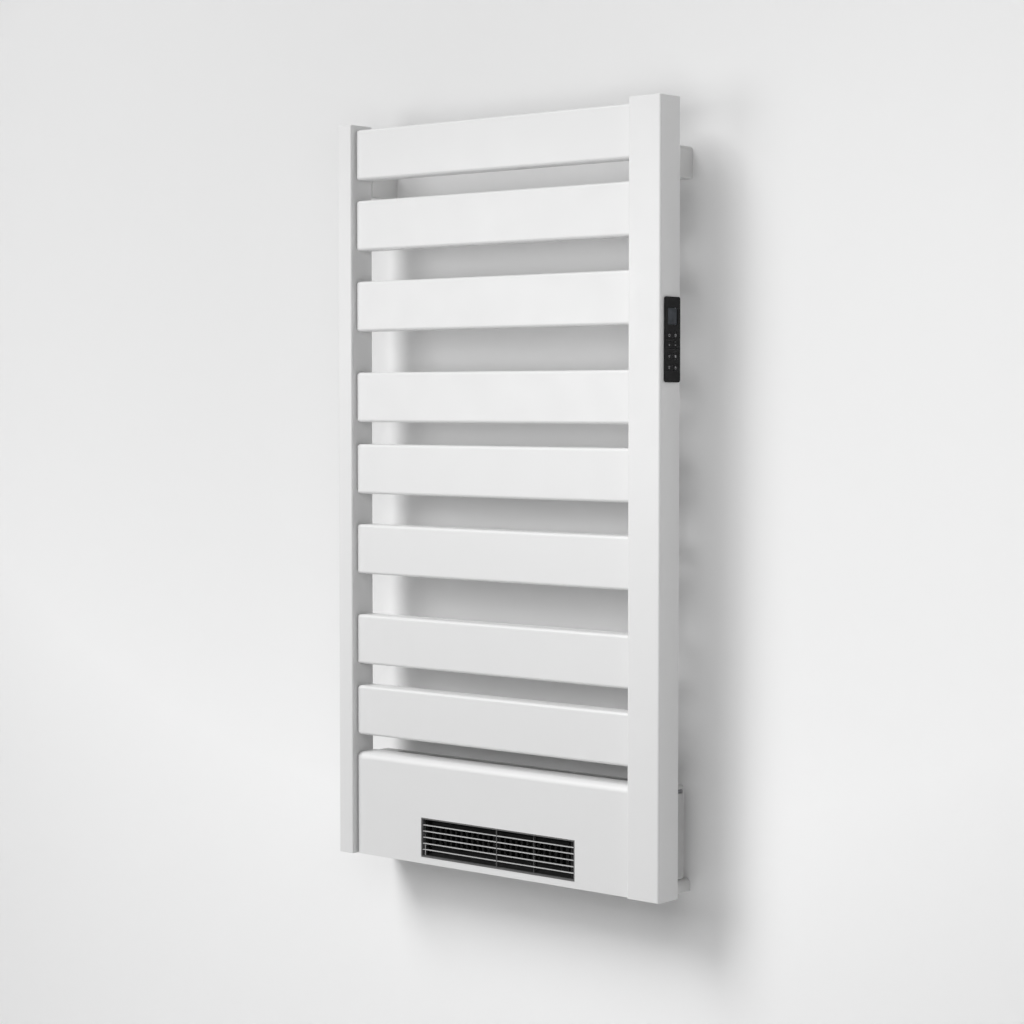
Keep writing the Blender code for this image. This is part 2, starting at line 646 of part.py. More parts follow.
def make_spacer(side, level, low_x, size, bottom):
    """A wall spacer: a block hollow from the wall side, held to the upright's
    back by a screw inside it."""
    width, height = size
    low = Vector((low_x, UPRIGHT_BACK + GAP, bottom))
    high = Vector((low_x + width, 0.0, bottom + height))
    spacer = block(f"{level}_{side}_spacer", low, high, "white_plastic", 0.003, 3, along=1)
    wall = 0.0028
    floor = 0.005
    cut(spacer, block(f"{level}_{side}_pocket", (low.x + wall, low.y + floor, low.z + wall),
                      (high.x - wall, 0.01, high.z - wall)))
    middle_x = (low.x + high.x) / 2
    middle_z = (low.z + high.z) / 2
    hole = 0.0025 + GAP
    tube = bpy.data.objects[f"{side}_upright"]
    for target, hole_name in ((spacer, "spacer"), (tube, "tube")):
        cut(target, rod(f"{level}_{side}_{hole_name}_hole", (middle_x, low.y - 0.004, middle_z),
                        (middle_x, low.y + 0.008, middle_z), hole, None, 16))
    screw = rod(f"{level}_{side}_screw", (middle_x, low.y - 0.007, middle_z),
                (middle_x, low.y + floor + 0.002, middle_z), 0.0025, "steel", 16)
    join(screw, rod(f"{level}_{side}_head", (middle_x, low.y + floor + GAP, middle_z),
                    (middle_x, low.y + floor + 0.0045, middle_z), 0.0046, None, 6))
    return low, high, wall


def make_wall_plate(side, low, high, wall):
    """The plate that is screwed to the wall, in the mouth of an upper spacer."""
    inset = wall + GAP
    plate = block(f"upper_{side}_wall_plate", (low.x + inset, -WALL_PLATE, low.z + inset),
                  (high.x - inset, 0.0, high.z - inset), "steel")
    middle_x = (low.x + high.x) / 2
    middle_z = (low.z + high.z) / 2
    cut(plate, rod(f"wall_hole_{side}", (middle_x, -0.01, middle_z), (middle_x, 0.01, middle_z), 0.00275,
                   None, 20))


def make_mounting():
    """Two upper spacers with their wall plates, and two lower spacers."""
    upper = {
        "left": INNER_LEFT - UPPER_SPACER[0],
        "right": RIGHT - SPACER_INSET - UPPER_SPACER[0],
    }
    for side, low_x in upper.items():
        low, high, wall = make_spacer(side, "upper", low_x, UPPER_SPACER, UPPER_SPACER_BOTTOM)
        make_wall_plate(side, low, high, wall)
    lower = {
        "left": INNER_LEFT - LOWER_SPACER[0],
        "right": RIGHT - SPACER_INSET - LOWER_SPACER[0],
    }
    for side, low_x in lower.items():
        make_spacer(side, "lower", low_x, LOWER_SPACER, 0.0)


make_frame()
make_front_cover()
make_outlet_grille()
make_rear_casing()
make_filter_tray()
make_fan_scroll()
make_fan()
make_bearing()
make_heater()
make_electrics()
make_keypad()
make_mounting()
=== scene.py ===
# %% [markdown]
# # A towel warmer with flat slats and a fan heater
#
# The real object hangs on a bathroom wall. Two square uprights carry eight flat
# steel slats, a fan heater fills the foot, and a keypad sits in the right
# upright's outer side. Every piece is already fixed in size and place by the
# imported model, so this lesson only gives the pieces their finished shapes and
# surfaces. First the model is loaded, and its parts and record are kept for the last cell.

import json
import math

import bmesh
import bpy
from mathutils import Matrix, Vector


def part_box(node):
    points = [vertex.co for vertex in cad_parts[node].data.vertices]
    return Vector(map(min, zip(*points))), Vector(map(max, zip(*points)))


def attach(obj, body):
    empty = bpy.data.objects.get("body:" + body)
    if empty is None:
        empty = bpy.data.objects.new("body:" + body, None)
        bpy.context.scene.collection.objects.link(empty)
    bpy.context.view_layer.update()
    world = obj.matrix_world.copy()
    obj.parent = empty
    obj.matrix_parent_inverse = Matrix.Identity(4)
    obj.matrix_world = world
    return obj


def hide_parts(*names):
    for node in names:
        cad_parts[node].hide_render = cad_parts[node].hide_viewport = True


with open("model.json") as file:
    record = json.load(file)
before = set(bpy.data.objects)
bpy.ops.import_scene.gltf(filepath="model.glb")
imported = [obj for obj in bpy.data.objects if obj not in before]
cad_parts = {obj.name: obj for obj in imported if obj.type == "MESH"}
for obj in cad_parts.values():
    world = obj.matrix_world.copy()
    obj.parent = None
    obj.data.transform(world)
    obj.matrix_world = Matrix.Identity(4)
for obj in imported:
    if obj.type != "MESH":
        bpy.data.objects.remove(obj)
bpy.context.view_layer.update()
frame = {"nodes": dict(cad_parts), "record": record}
nodes = frame["nodes"]

# %% [markdown]
# ## Camera
#
# A product picture like this one is taken from well back with a long lens, so
# the verticals stay straight and the slats only just converge. The camera
# stands to the right of the object, a little above its middle, and is turned
# left until the frame fills the picture.

# %% Camera
CAMERA_PLACE = (2.0716, -2.4933, 0.6242)
CAMERA_TURN = math.radians(40.263)
CAMERA_DIP = math.radians(2.617)
CAMERA_LENS = 85.49
CAMERA_SENSOR = 36.0

camera_data = bpy.data.cameras.new("camera")
camera_data.lens = CAMERA_LENS
camera_data.sensor_width = CAMERA_SENSOR
camera = bpy.data.objects.new("camera", camera_data)
camera.location = CAMERA_PLACE
camera.rotation_euler = (math.pi / 2 - CAMERA_DIP, 0, CAMERA_TURN)
bpy.context.scene.collection.objects.link(camera)
bpy.context.scene.camera = camera
bpy.context.scene.view_settings.view_transform = "Standard"
print("lens", CAMERA_LENS, "mm, turned", round(math.degrees(CAMERA_TURN), 1), "degrees")

# %% [markdown]
# ## Node helpers
#
# Materials and Geometry Nodes are both built from nodes that feed each other.
# Three short helpers make that readable: one adds a node, one feeds a socket,
# and one does both and gives back an output, so that calls can be nested.

# %% Helpers for node trees
def add_node(tree, kind, **settings):
    """A node with some of its settings changed."""
    node = tree.nodes.new(kind)
    for name, value in settings.items():
        setattr(node, name, value)
    return node


def plug(tree, socket, value):
    """Feed a socket from another socket, or set it to a plain value."""
    if isinstance(value, bpy.types.NodeSocket):
        tree.links.new(value, socket)
    else:
        socket.default_value = value


def put(tree, kind, output, settings=None, **inputs):
    """A node with its inputs fed by name; gives back one of its outputs."""
    node = add_node(tree, kind, **(settings or {}))
    for name, value in inputs.items():
        plug(tree, node.inputs[name.replace("_", " ")], value)
    return node.outputs[output]


# %% [markdown]
# ## Wall and floor
#
# A white object on a white wall is drawn almost wholly by its shadows, so the
# backdrop matters. The wall is a pale matt plane, and the floor lies well below
# the object, where it throws little light back up. The lights stand near the
# wall and would leave it brighter in the middle, so its paint is darker there
# by up to a sixth, which keeps the backdrop even. From behind the wall is clear,
# so that the object's back can be looked at too.

# %% Wall and floor
FLOOR_DROP = 1.2
STAGE_REACH = 6.0
WALL_TONES = (0.771, 0.93)
EVEN_MIDDLE = (-0.10, 0.78)
EVEN_RATE = (math.sqrt(0.103), math.sqrt(0.302))
FLOOR_TONE = 0.80


def flat_stage(name, place, turn, material):
    """A plain square that belongs to the studio and not to the object."""
    bpy.ops.mesh.primitive_plane_add(size=STAGE_REACH * 2, location=place, rotation=turn)
    plane = bpy.context.object
    plane.name = name
    plane.data.materials.append(material)
    return plane


def matt_paint(name, tone):
    """Matt paint without any shine."""
    material = bpy.data.materials.new(name)
    material.use_nodes = True
    shader = material.node_tree.nodes["Principled BSDF"]
    shader.inputs["Base Color"].default_value = (tone, tone, tone, 1)
    shader.inputs["Roughness"].default_value = 1.0
    shader.inputs["Specular IOR Level"].default_value = 0.0
    return material


def even_wall_paint(middle_height):
    """Matt paint that grows lighter away from a middle point, and that is
    clear where its back is looked at."""
    material = matt_paint("wall_paint", WALL_TONES[0])
    tree = material.node_tree
    shader = tree.nodes["Principled BSDF"]
    place = put(tree, "ShaderNodeTexCoord", "Object")
    middle = (EVEN_MIDDLE[0] * EVEN_RATE[0], (EVEN_MIDDLE[1] - middle_height) * EVEN_RATE[1])
    away = put(tree, "ShaderNodeMapping", "Vector", Vector=place, Location=(-middle[0], -middle[1], 0),
               Scale=(*EVEN_RATE, 0))
    square = add_node(tree, "ShaderNodeVectorMath", operation="DOT_PRODUCT")
    for socket in square.inputs[:2]:
        tree.links.new(away, socket)
    tone = put(tree, "ShaderNodeMapRange", "Result", Value=square.outputs["Value"],
               From_Max=WALL_TONES[1] - WALL_TONES[0], To_Min=WALL_TONES[0], To_Max=WALL_TONES[1])
    tree.links.new(tone, shader.inputs["Base Color"])
    choice = add_node(tree, "ShaderNodeMixShader")
    plug(tree, choice.inputs[0], put(tree, "ShaderNodeNewGeometry", "Backfacing"))
    plug(tree, choice.inputs[1], shader.outputs["BSDF"])
    plug(tree, choice.inputs[2], put(tree, "ShaderNodeBsdfTransparent", "BSDF"))
    tree.links.new(choice.outputs["Shader"], tree.nodes["Material Output"].inputs["Surface"])
    return material


wall_height = STAGE_REACH - FLOOR_DROP
stood_up = (math.pi / 2, 0, 0)
studio_wall = flat_stage("studio_wall", (0, 0, wall_height), stood_up, even_wall_paint(wall_height))
studio_wall.visible_shadow = False
flat_stage("studio_floor", (0, 0, -FLOOR_DROP), (0, 0, 0), matt_paint("floor_paint", FLOOR_TONE))
print("the floor lies", FLOOR_DROP, "m below the uprights")

# %% [markdown]
# ## Light
#
# A large soft key light stands up to the left, like a window, and makes the
# shadow to the right and below. A broad fill stands in front, to the right and
# a little above the object's middle, so it reaches through the gaps between the
# slats but hardly under the cover. A smaller one brightens the left. The weak
# one from behind shows the back: the wall throws no shadow, so it passes.

# %% Light
KEY_FROM = Vector((-0.66, -1.0, 1.30))
KEY_STRENGTH = 2.02
KEY_SPREAD = math.radians(28)
BACK_STRENGTH = 0.32
BACK_SPREAD = math.radians(24)
AIM = Vector((0.0, 0.0, 0.5))
FILL_PLACE = Vector((0.50, -1.0, 0.78))
FILL_SIZE = (1.2, 0.8)
FILL_POWER = 5.0
LEFT_PLACE = Vector((-1.0, -1.4, 0.80))
LEFT_SIZE = (0.8, 0.8)
LEFT_POWER = 7.8
SURROUND_TONE = 0.85
SURROUND_LIGHT = 0.02


def turn_light(name, data, place, towards):
    """A light that stands at a place and shines against a direction."""
    light = bpy.data.objects.new(name, data)
    light.location = place
    light.rotation_mode = "QUATERNION"
    light.rotation_quaternion = towards.to_track_quat("Z", "Y")
    light.visible_camera = False
    bpy.context.scene.collection.objects.link(light)


def add_sun(name, strength, spread, towards):
    """A light from far away: its spread sets how soft the shadows are."""
    data = bpy.data.lights.new(name, "SUN")
    data.energy = strength
    data.angle = spread
    turn_light(name, data, AIM, towards)


def add_softbox(name, power, size, place):
    """A bright rectangle that looks at the object's middle."""
    data = bpy.data.lights.new(name, "AREA")
    data.shape = "RECTANGLE"
    data.size, data.size_y = size
    data.energy = power
    turn_light(name, data, place, place - AIM)


add_sun("key_light", KEY_STRENGTH, KEY_SPREAD, KEY_FROM)
add_sun("back_light", BACK_STRENGTH, BACK_SPREAD, Vector((0, 1, 0)))
add_softbox("front_fill", FILL_POWER, FILL_SIZE, FILL_PLACE)
add_softbox("left_fill", LEFT_POWER, LEFT_SIZE, LEFT_PLACE)

# %% Surround
# What lies beyond the stage is pale to look at, and gives next to no light.
surround = bpy.data.worlds.new("surround")
surround.use_nodes = True
air = surround.node_tree
pale = air.nodes["Background"]
pale.inputs["Color"].default_value = (1, 1, 1, 1)
seen = put(air, "ShaderNodeLightPath", "Is Camera Ray")
level = put(air, "ShaderNodeMapRange", "Result", Value=seen, To_Min=SURROUND_LIGHT, To_Max=SURROUND_TONE)
air.links.new(level, pale.inputs["Strength"])
bpy.context.scene.world = surround
print("key light from", tuple(round(x, 2) for x in KEY_FROM.normalized()))

# %% [markdown]
# ## Finishes
#
# A finish is more than a colour. Powder coat has a fine skin like orange peel,
# moulded plastic has a soft grain, and every surface is a little uneven in
# gloss. One helper builds all of them from the same parts: a broad noise that
# shifts the tone, a smaller one that shifts the gloss, a fine one that lifts
# the surface, and a lighter tone on rounded edges. That lighter edge is partly
# wear, where paint is thin and hands rub, and partly a painted highlight where
# the edges catch the light. The meshes carry an "edge" value for that last part.
# Patterns read Object coordinates, so their size is in metres on every piece.

# %% Helpers for materials
def noise(tree, place, size, detail=2.0):
    """Noise whose blotches are about size metres across."""
    texture = add_node(tree, "ShaderNodeTexNoise")
    texture.inputs["Scale"].default_value = 1.0 / size
    texture.inputs["Detail"].default_value = detail
    tree.links.new(place, texture.inputs["Vector"])
    return texture.outputs["Fac"]


def spread(tree, value, low, high, from_low=0.3, from_high=0.7):
    """A value stretched to a new range; noise lies mostly from 0.3 to 0.7."""
    stretch = add_node(tree, "ShaderNodeMapRange")
    tree.links.new(value, stretch.inputs["Value"])
    limits = {"From Min": from_low, "From Max": from_high, "To Min": low, "To Max": high}
    for name, number in limits.items():
        stretch.inputs[name].default_value = number
    return stretch.outputs["Result"]


def colour_socket(sockets, name=None):
    """A Mix node has sockets of every type; this finds the colour one."""
    return next(s for s in sockets if s.type == "RGBA" and name in (None, s.name))


def blend_colours(tree, share, first, second):
    """One colour, or another, or anything between."""
    mix = add_node(tree, "ShaderNodeMix", data_type="RGBA")
    tree.links.new(share, mix.inputs["Factor"])
    for name, colour in (("A", first), ("B", second)):
        socket = colour_socket(mix.inputs, name)
        if isinstance(colour, bpy.types.NodeSocket):
            tree.links.new(colour, socket)
        else:
            socket.default_value = (*colour, 1)
    return colour_socket(mix.outputs)


# %% The finish helper
def tinted(colour, factor):
    """A lighter or darker version of a colour."""
    return tuple(min(1.0, channel * factor) for channel in colour)


def finish(name, colour, gloss, grain, lift, patch, shift, metallic=0.0, edge=1.08, shine=0.5):
    """A finish: its colour, its lowest and highest roughness, the size of its
    grain in metres, how far the grain lifts, and the size and strength of the
    patches of tone. Rounded edges are lighter by the edge factor, partly wear and
    partly a painted highlight, and shine is how much the surface mirrors when
    seen straight on."""
    material = bpy.data.materials.new(name)
    material.use_nodes = True
    tree = material.node_tree
    shader = tree.nodes["Principled BSDF"]
    place = put(tree, "ShaderNodeTexCoord", "Object")

    patches = spread(tree, noise(tree, place, patch), 0, 1)
    tone = blend_colours(tree, patches, tinted(colour, 1 - shift), tinted(colour, 1 + shift))
    # Rounded edges get a lighter tone: partly wear, partly a painted highlight.
    edge_wear_and_highlight = add_node(tree, "ShaderNodeAttribute", attribute_name="edge").outputs["Fac"]
    tone = blend_colours(tree, edge_wear_and_highlight, tone, tinted(colour, edge))
    tree.links.new(tone, shader.inputs["Base Color"])

    scuffs = noise(tree, place, patch / 6, 4.0)
    tree.links.new(spread(tree, scuffs, *gloss), shader.inputs["Roughness"])
    bump = add_node(tree, "ShaderNodeBump")
    bump.inputs["Distance"].default_value = lift
    tree.links.new(noise(tree, place, grain, 3.0), bump.inputs["Height"])
    tree.links.new(bump.outputs["Normal"], shader.inputs["Normal"])
    shader.inputs["Metallic"].default_value = metallic
    shader.inputs["Specular IOR Level"].default_value = shine
    return material


# %% The finishes of this object
ENAMEL = (0.742, 0.742, 0.742)
# The casing's grey is partly its own and partly painted shade: it is darkened to the tone of the casing's
# shaded side.
MOULDING_AND_SHADE = (0.540, 0.540, 0.537)
SPACER = (0.715, 0.715, 0.710)
# Near black: painted shade for the heater behind the grille.
PAINTED_SHADE_BLACK = (0.007, 0.007, 0.007)

# Each edge factor lightens the rounded edges: partly wear, partly a painted highlight.
enamel = finish("satin_enamel", ENAMEL, gloss=(0.34, 0.46), grain=0.0011, lift=0.000012, patch=0.25,
                shift=0.006, edge=1.05)
casing_plastic = finish("casing_plastic", MOULDING_AND_SHADE, gloss=(0.42, 0.56), grain=0.0006, lift=0.00002,
                        patch=0.08, shift=0.012, edge=1.04)
spacer_plastic = finish("spacer_plastic", SPACER, gloss=(0.42, 0.56), grain=0.0006, lift=0.00002,
                        patch=0.05, shift=0.012, edge=1.04)
grille_plastic = finish("grille_plastic", (0.135, 0.135, 0.135), gloss=(0.40, 0.55), grain=0.0006,
                        lift=0.00002, patch=0.05, shift=0.05)
bar_plastic = finish("bar_plastic", (0.52, 0.52, 0.52), gloss=(0.32, 0.48), grain=0.0006, lift=0.00001,
                     patch=0.05, shift=0.04)
filter_plastic = finish("filter_plastic", (0.20, 0.20, 0.21), gloss=(0.42, 0.58), grain=0.0005,
                        lift=0.00002, patch=0.03, shift=0.06)
filter_net = finish("filter_net", (0.10, 0.10, 0.11), gloss=(0.45, 0.60), grain=0.0004, lift=0.00001,
                    patch=0.02, shift=0.12)
polished_black = finish("polished_black", (0.004, 0.004, 0.0045), gloss=(0.10, 0.20), grain=0.004,
                        lift=0.000002, patch=0.02, shift=0.2, edge=4.0, shine=0.16)
display_glass = finish("tinted_glass", (0.036, 0.042, 0.052), gloss=(0.06, 0.12), grain=0.003,
                       lift=0.000001, patch=0.014, shift=0.35, shine=0.3)
key_print = finish("key_print", (0.42, 0.42, 0.43), gloss=(0.40, 0.50), grain=0.0003, lift=0.000002,
                   patch=0.004, shift=0.08)
duct_plastic = finish("duct_plastic", (0.012, 0.012, 0.012), gloss=(0.50, 0.70), grain=0.0005,
                      lift=0.00003, patch=0.03, shift=0.2)
gland_plastic = finish("gland_plastic", (0.020, 0.020, 0.021), gloss=(0.38, 0.52), grain=0.0005,
                       lift=0.00002, patch=0.01, shift=0.15, edge=1.8)
# The heater's near-black finish is painted shade, so the grille's inside stays dark.
heater_coating = finish("heater_coating", PAINTED_SHADE_BLACK, gloss=(0.55, 0.75), grain=0.0006, lift=0.00002,
                        patch=0.01, shift=0.3, shine=0.2)
zinc_plate = finish("zinc_plate", (0.58, 0.58, 0.59), gloss=(0.22, 0.42), grain=0.0008, lift=0.00001,
                    patch=0.012, shift=0.07, metallic=1.0, edge=1.25)
rolled_aluminium = finish("rolled_aluminium", (0.74, 0.74, 0.75), gloss=(0.28, 0.45), grain=0.0012,
                          lift=0.00001, patch=0.04, shift=0.03, metallic=1.0)
board_lacquer = finish("board_lacquer", (0.020, 0.120, 0.050), gloss=(0.30, 0.42), grain=0.001,
                       lift=0.00001, patch=0.01, shift=0.12)
print("finishes:", [m.name for m in bpy.data.materials])

# %% [markdown]
# ## Making meshes
#
# Pieces are made in two ways here. Shapes that follow a rule come from
# Geometry Nodes trees, which are run once and kept as plain meshes. Shapes
# that need cutting get Bevel and Boolean modifiers, which are frozen in the
# same way. After that every mesh is shaded smooth with creases, its flat faces
# are kept flat by weighted normals, and its small rounded faces are marked as
# edges, which the finishes use.

# %% Helpers that freeze and smooth
CREASE = math.radians(35)
SMALL_FACE = 0.00002


def new_piece(name, mesh=None):
    """A new object that stands at the origin, with a mesh or an empty one."""
    piece = bpy.data.objects.new(name, mesh or bpy.data.meshes.new(name))
    bpy.context.scene.collection.objects.link(piece)
    return piece


def piece_from(shape, name, material=None):
    """A new object out of a bmesh, which is used up."""
    piece = new_piece(name)
    shape.to_mesh(piece.data)
    shape.free()
    if material:
        piece.data.materials.append(material)
    return piece


def freeze(piece):
    """Replace a piece's modifiers by the mesh that they make."""
    seen = piece.evaluated_get(bpy.context.evaluated_depsgraph_get())
    made = bpy.data.meshes.new_from_object(seen)
    piece.modifiers.clear()
    piece.data = made
    made.name = piece.name
    return piece


def smooth(piece):
    """Smooth faces, creases, and normals that keep the flat faces flat."""
    piece.data.shade_smooth()
    piece.data.set_sharp_from_angle(angle=CREASE)
    weigh = piece.modifiers.new("weigh", "WEIGHTED_NORMAL")
    weigh.keep_sharp = True
    return freeze(piece)


def mark_edges(piece):
    """Give each point an edge value: 1 between small faces, 0 on a large one."""
    mesh = piece.data
    values = [1.0] * len(mesh.vertices)
    for face in mesh.polygons:
        if face.area > SMALL_FACE:
            for index in face.vertices:
                values[index] = 0.0
    layer = mesh.attributes.new("edge", "FLOAT", "POINT")
    layer.data.foreach_set("value", values)
    return piece


def move(piece, place, turn=None):
    """Put a mesh in its place, leaving its object at the origin."""
    matrix = Matrix.Translation(place)
    if turn is not None:
        matrix = matrix @ turn
    piece.data.transform(matrix)
    return piece


def one_finish(piece):
    """Give every face the piece's one finish, also the faces that a cut made."""
    chosen = next(material for material in piece.data.materials if material)
    piece.data.materials.clear()
    piece.data.materials.append(chosen)
    piece.data.polygons.foreach_set("material_index", [0] * len(piece.data.polygons))


def settle(piece, body, slot, *stands_for):
    """Fix a finished piece to its body and the nodes it stands for. Its slot is not used."""
    one_finish(piece)
    mark_edges(piece)
    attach(piece, body)
    if stands_for:
        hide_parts(*stands_for)
    return piece


# %% Helpers for Geometry Nodes
def new_tree(name, inputs):
    """An empty tree with named inputs and one geometry output. Inputs are
    named by what they hold: a number of metres, a count or a material."""
    tree = bpy.data.node_groups.new(name, "GeometryNodeTree")
    for label, kind in inputs.items():
        tree.interface.new_socket(label, in_out="INPUT", socket_type="NodeSocket" + kind)
    tree.interface.new_socket("Result", in_out="OUTPUT", socket_type="NodeSocketGeometry")
    start = tree.nodes.new("NodeGroupInput")
    end = tree.nodes.new("NodeGroupOutput")
    return tree, start.outputs, end.inputs["Result"]


def calc(tree, operation, *values):
    """A Math node; its values are sockets or numbers."""
    node = add_node(tree, "ShaderNodeMath", operation=operation)
    for socket, value in zip(node.inputs, values):
        plug(tree, socket, value)
    return node.outputs[0]


def vector(tree, *values):
    """Three numbers as one vector."""
    node = add_node(tree, "ShaderNodeCombineXYZ")
    for socket, value in zip(node.inputs, values):
        plug(tree, socket, value)
    return node.outputs["Vector"]


def joined(tree, *shapes):
    """Several shapes as one geometry."""
    join = add_node(tree, "GeometryNodeJoinGeometry")
    for shape in shapes:
        tree.links.new(shape, join.inputs["Geometry"])
    return join.outputs["Geometry"]


def close_tree(tree, geometry, material, output):
    """Make instances real and paint them: the last two steps of every tree."""
    real = put(tree, "GeometryNodeRealizeInstances", "Geometry", Geometry=geometry)
    painted = put(tree, "GeometryNodeSetMaterial", "Geometry", Geometry=real, Material=material)
    tree.links.new(painted, output)
    return tree


def run_tree(name, tree, base=None, **values):
    """Run a tree once and keep its result as a plain mesh. Its inputs are set
    by identifier, before the tree is evaluated for the first time."""
    piece = new_piece(name, base)
    modifier = piece.modifiers.new(tree.name, "NODES")
    modifier.node_group = tree
    for item in tree.interface.items_tree:
        if item.in_out == "INPUT" and item.socket_type != "NodeSocketGeometry":
            modifier[item.identifier] = values[item.name.replace(" ", "_")]
    return freeze(piece)


# %% [markdown]
# ## A rounded block
#
# Slats and the casing are boxes whose edges are all rolled over. A cube of
# many small faces can be pushed into that shape by a rule. Each of its points
# gets a core, which is a corner of the box drawn in by the rounding, and a
# direction in which the rounding is added. The directions are spaced by a
# tangent, so that the steps round each edge come out even.

# %% The rounded block's tree
ROUND_STEPS = 6


def rounded_block_tree():
    """The tree that pushes a cube's points out into a rounded block."""
    tree, given, output = new_tree("rounded_block", {
        "Length": "Float", "Depth": "Float", "Height": "Float", "Rounding": "Float", "Steps": "Int",
        "Material": "Material"})
    count = calc(tree, "MULTIPLY", calc(tree, "ADD", given["Steps"], 1.0), 2.0)
    cube = put(tree, "GeometryNodeMeshCube", "Mesh", Vertices_X=count, Vertices_Y=count, Vertices_Z=count)
    split = add_node(tree, "ShaderNodeSeparateXYZ")
    plug(tree, split.inputs[0], put(tree, "GeometryNodeInputPosition", "Position"))

    corners = []
    directions = []
    for axis, size in zip("XYZ", ("Length", "Depth", "Height")):
        sign = calc(tree, "SIGN", split.outputs[axis])
        far = calc(tree, "ABSOLUTE", split.outputs[axis])
        lines = calc(tree, "MULTIPLY", far, calc(tree, "SUBTRACT", count, 1.0))
        ring = calc(tree, "ROUND", calc(tree, "SUBTRACT", lines, 0.5))
        angle = calc(tree, "MULTIPLY", calc(tree, "DIVIDE", ring, given["Steps"]), math.pi / 4)
        core = calc(tree, "SUBTRACT", calc(tree, "MULTIPLY", given[size], 0.5), given["Rounding"])
        corners.append(calc(tree, "MULTIPLY", core, sign))
        directions.append(calc(tree, "MULTIPLY", calc(tree, "TANGENT", angle), sign))
    outward = add_node(tree, "ShaderNodeVectorMath", operation="NORMALIZE")
    tree.links.new(vector(tree, *directions), outward.inputs[0])
    reach = add_node(tree, "ShaderNodeVectorMath", operation="SCALE")
    tree.links.new(outward.outputs["Vector"], reach.inputs[0])
    tree.links.new(given["Rounding"], reach.inputs["Scale"])
    place = add_node(tree, "ShaderNodeVectorMath", operation="ADD")
    tree.links.new(vector(tree, *corners), place.inputs[0])
    tree.links.new(reach.outputs["Vector"], place.inputs[1])
    pushed = put(tree, "GeometryNodeSetPosition", "Geometry", Geometry=cube,
                 Position=place.outputs["Vector"])
    return close_tree(tree, pushed, given["Material"], output)


ROUNDED_BLOCK = rounded_block_tree()


def rounded_block(name, low, high, rounding, material):
    """A rounded block between two corners."""
    size = high - low
    piece = run_tree(name, ROUNDED_BLOCK, Length=size.x, Depth=size.y, Height=size.z, Rounding=rounding,
                     Steps=ROUND_STEPS, Material=material)
    return move(smooth(piece), (low + high) / 2)


# %% [markdown]
# ## A prism with rounded corners
#
# Uprights, keys and plates are rounded in one direction only. The usual way is
# a flat outline that is filled and pulled up: a rectangle curve, its corners
# filleted, then Fill Curve and Extrude Mesh. The first face is turned over, so
# that it looks outwards, and merged with the walls. A Bevel then takes the
# sharpness off the rims.

# %% The prism's tree
MERGE_GAP = 0.00001
RIM_STEPS = 3
RIM_ANGLE = math.radians(60)


def prism_tree():
    """The tree that fills a filleted rectangle and pulls it up."""
    tree, given, output = new_tree("rounded_prism", {
        "Width": "Float", "Depth": "Float", "Height": "Float", "Rounding": "Float", "Steps": "Int",
        "Material": "Material"})
    outline = put(tree, "GeometryNodeCurvePrimitiveQuadrilateral", "Curve", Width=given["Width"],
                  Height=given["Depth"])
    corners = put(tree, "GeometryNodeFilletCurve", "Curve", {"mode": "POLY"}, Curve=outline,
                  Radius=given["Rounding"], Count=given["Steps"])
    face = put(tree, "GeometryNodeFillCurve", "Mesh", {"mode": "NGONS"}, Curve=corners)
    pulled = put(tree, "GeometryNodeExtrudeMesh", "Mesh", {"mode": "FACES"}, Mesh=face,
                 Offset=vector(tree, 0.0, 0.0, 1.0), Offset_Scale=given["Height"])
    under = put(tree, "GeometryNodeFlipFaces", "Mesh", Mesh=face)
    closed = put(tree, "GeometryNodeMergeByDistance", "Geometry", Geometry=joined(tree, pulled, under),
                 Distance=MERGE_GAP)
    return close_tree(tree, closed, given["Material"], output)


PRISM = prism_tree()
ALONG = {
    "X": Matrix.Rotation(math.pi / 2, 4, "Y") @ Matrix.Rotation(math.pi / 2, 4, "Z"),
    "Y": Matrix.Rotation(-math.pi / 2, 4, "X"),
    "Z": Matrix.Identity(4),
}


def soften(piece, rim):
    """Take the sharpness off a piece's square edges."""
    bevel = piece.modifiers.new("rim", "BEVEL")
    bevel.width = rim
    bevel.segments = RIM_STEPS
    bevel.limit_method = "ANGLE"
    bevel.angle_limit = RIM_ANGLE
    return freeze(piece)


def prism(name, low, high, along, rounding, material, rim=0.0, steps=ROUND_STEPS):
    """A rounded prism between two corners, along one axis."""
    size = high - low
    sides = {"X": (size.y, size.z, size.x), "Y": (size.x, size.z, size.y), "Z": size}
    width, depth, height = sides[along]
    piece = run_tree(name, PRISM, Width=width, Depth=depth, Height=height, Rounding=rounding, Steps=steps,
                     Material=material)
    if rim:
        soften(piece, rim)
    move(piece, (0, 0, -height / 2))
    return move(smooth(piece), (low + high) / 2, ALONG[along])


# %% [markdown]
# ## Cutting and joining
#
# Windows, slots and bores are cut with boxes and rods that reach well past the
# material, so that no thin skin stays behind. A few lengths that come back in
# many pieces get their names here: the clearance between parts that meet, and
# the rim and the step count of small mouldings.

# %% Helpers for cutting
PAST = 0.01
FIT = 0.0003
SMALL_RIM = 0.0003
FEW_STEPS = 3


def plain_box(name, low, high, material=None):
    """A plain box, made only to be cut with or bevelled."""
    low, high = Vector(low), Vector(high)
    shape = bmesh.new()
    bmesh.ops.create_cube(shape, size=1.0)
    bmesh.ops.scale(shape, vec=high - low, verts=shape.verts)
    bmesh.ops.translate(shape, vec=(low + high) / 2, verts=shape.verts)
    return piece_from(shape, name, material)


def cutter(low, high):
    """A box to cut with."""
    return plain_box("cutter", low, high)


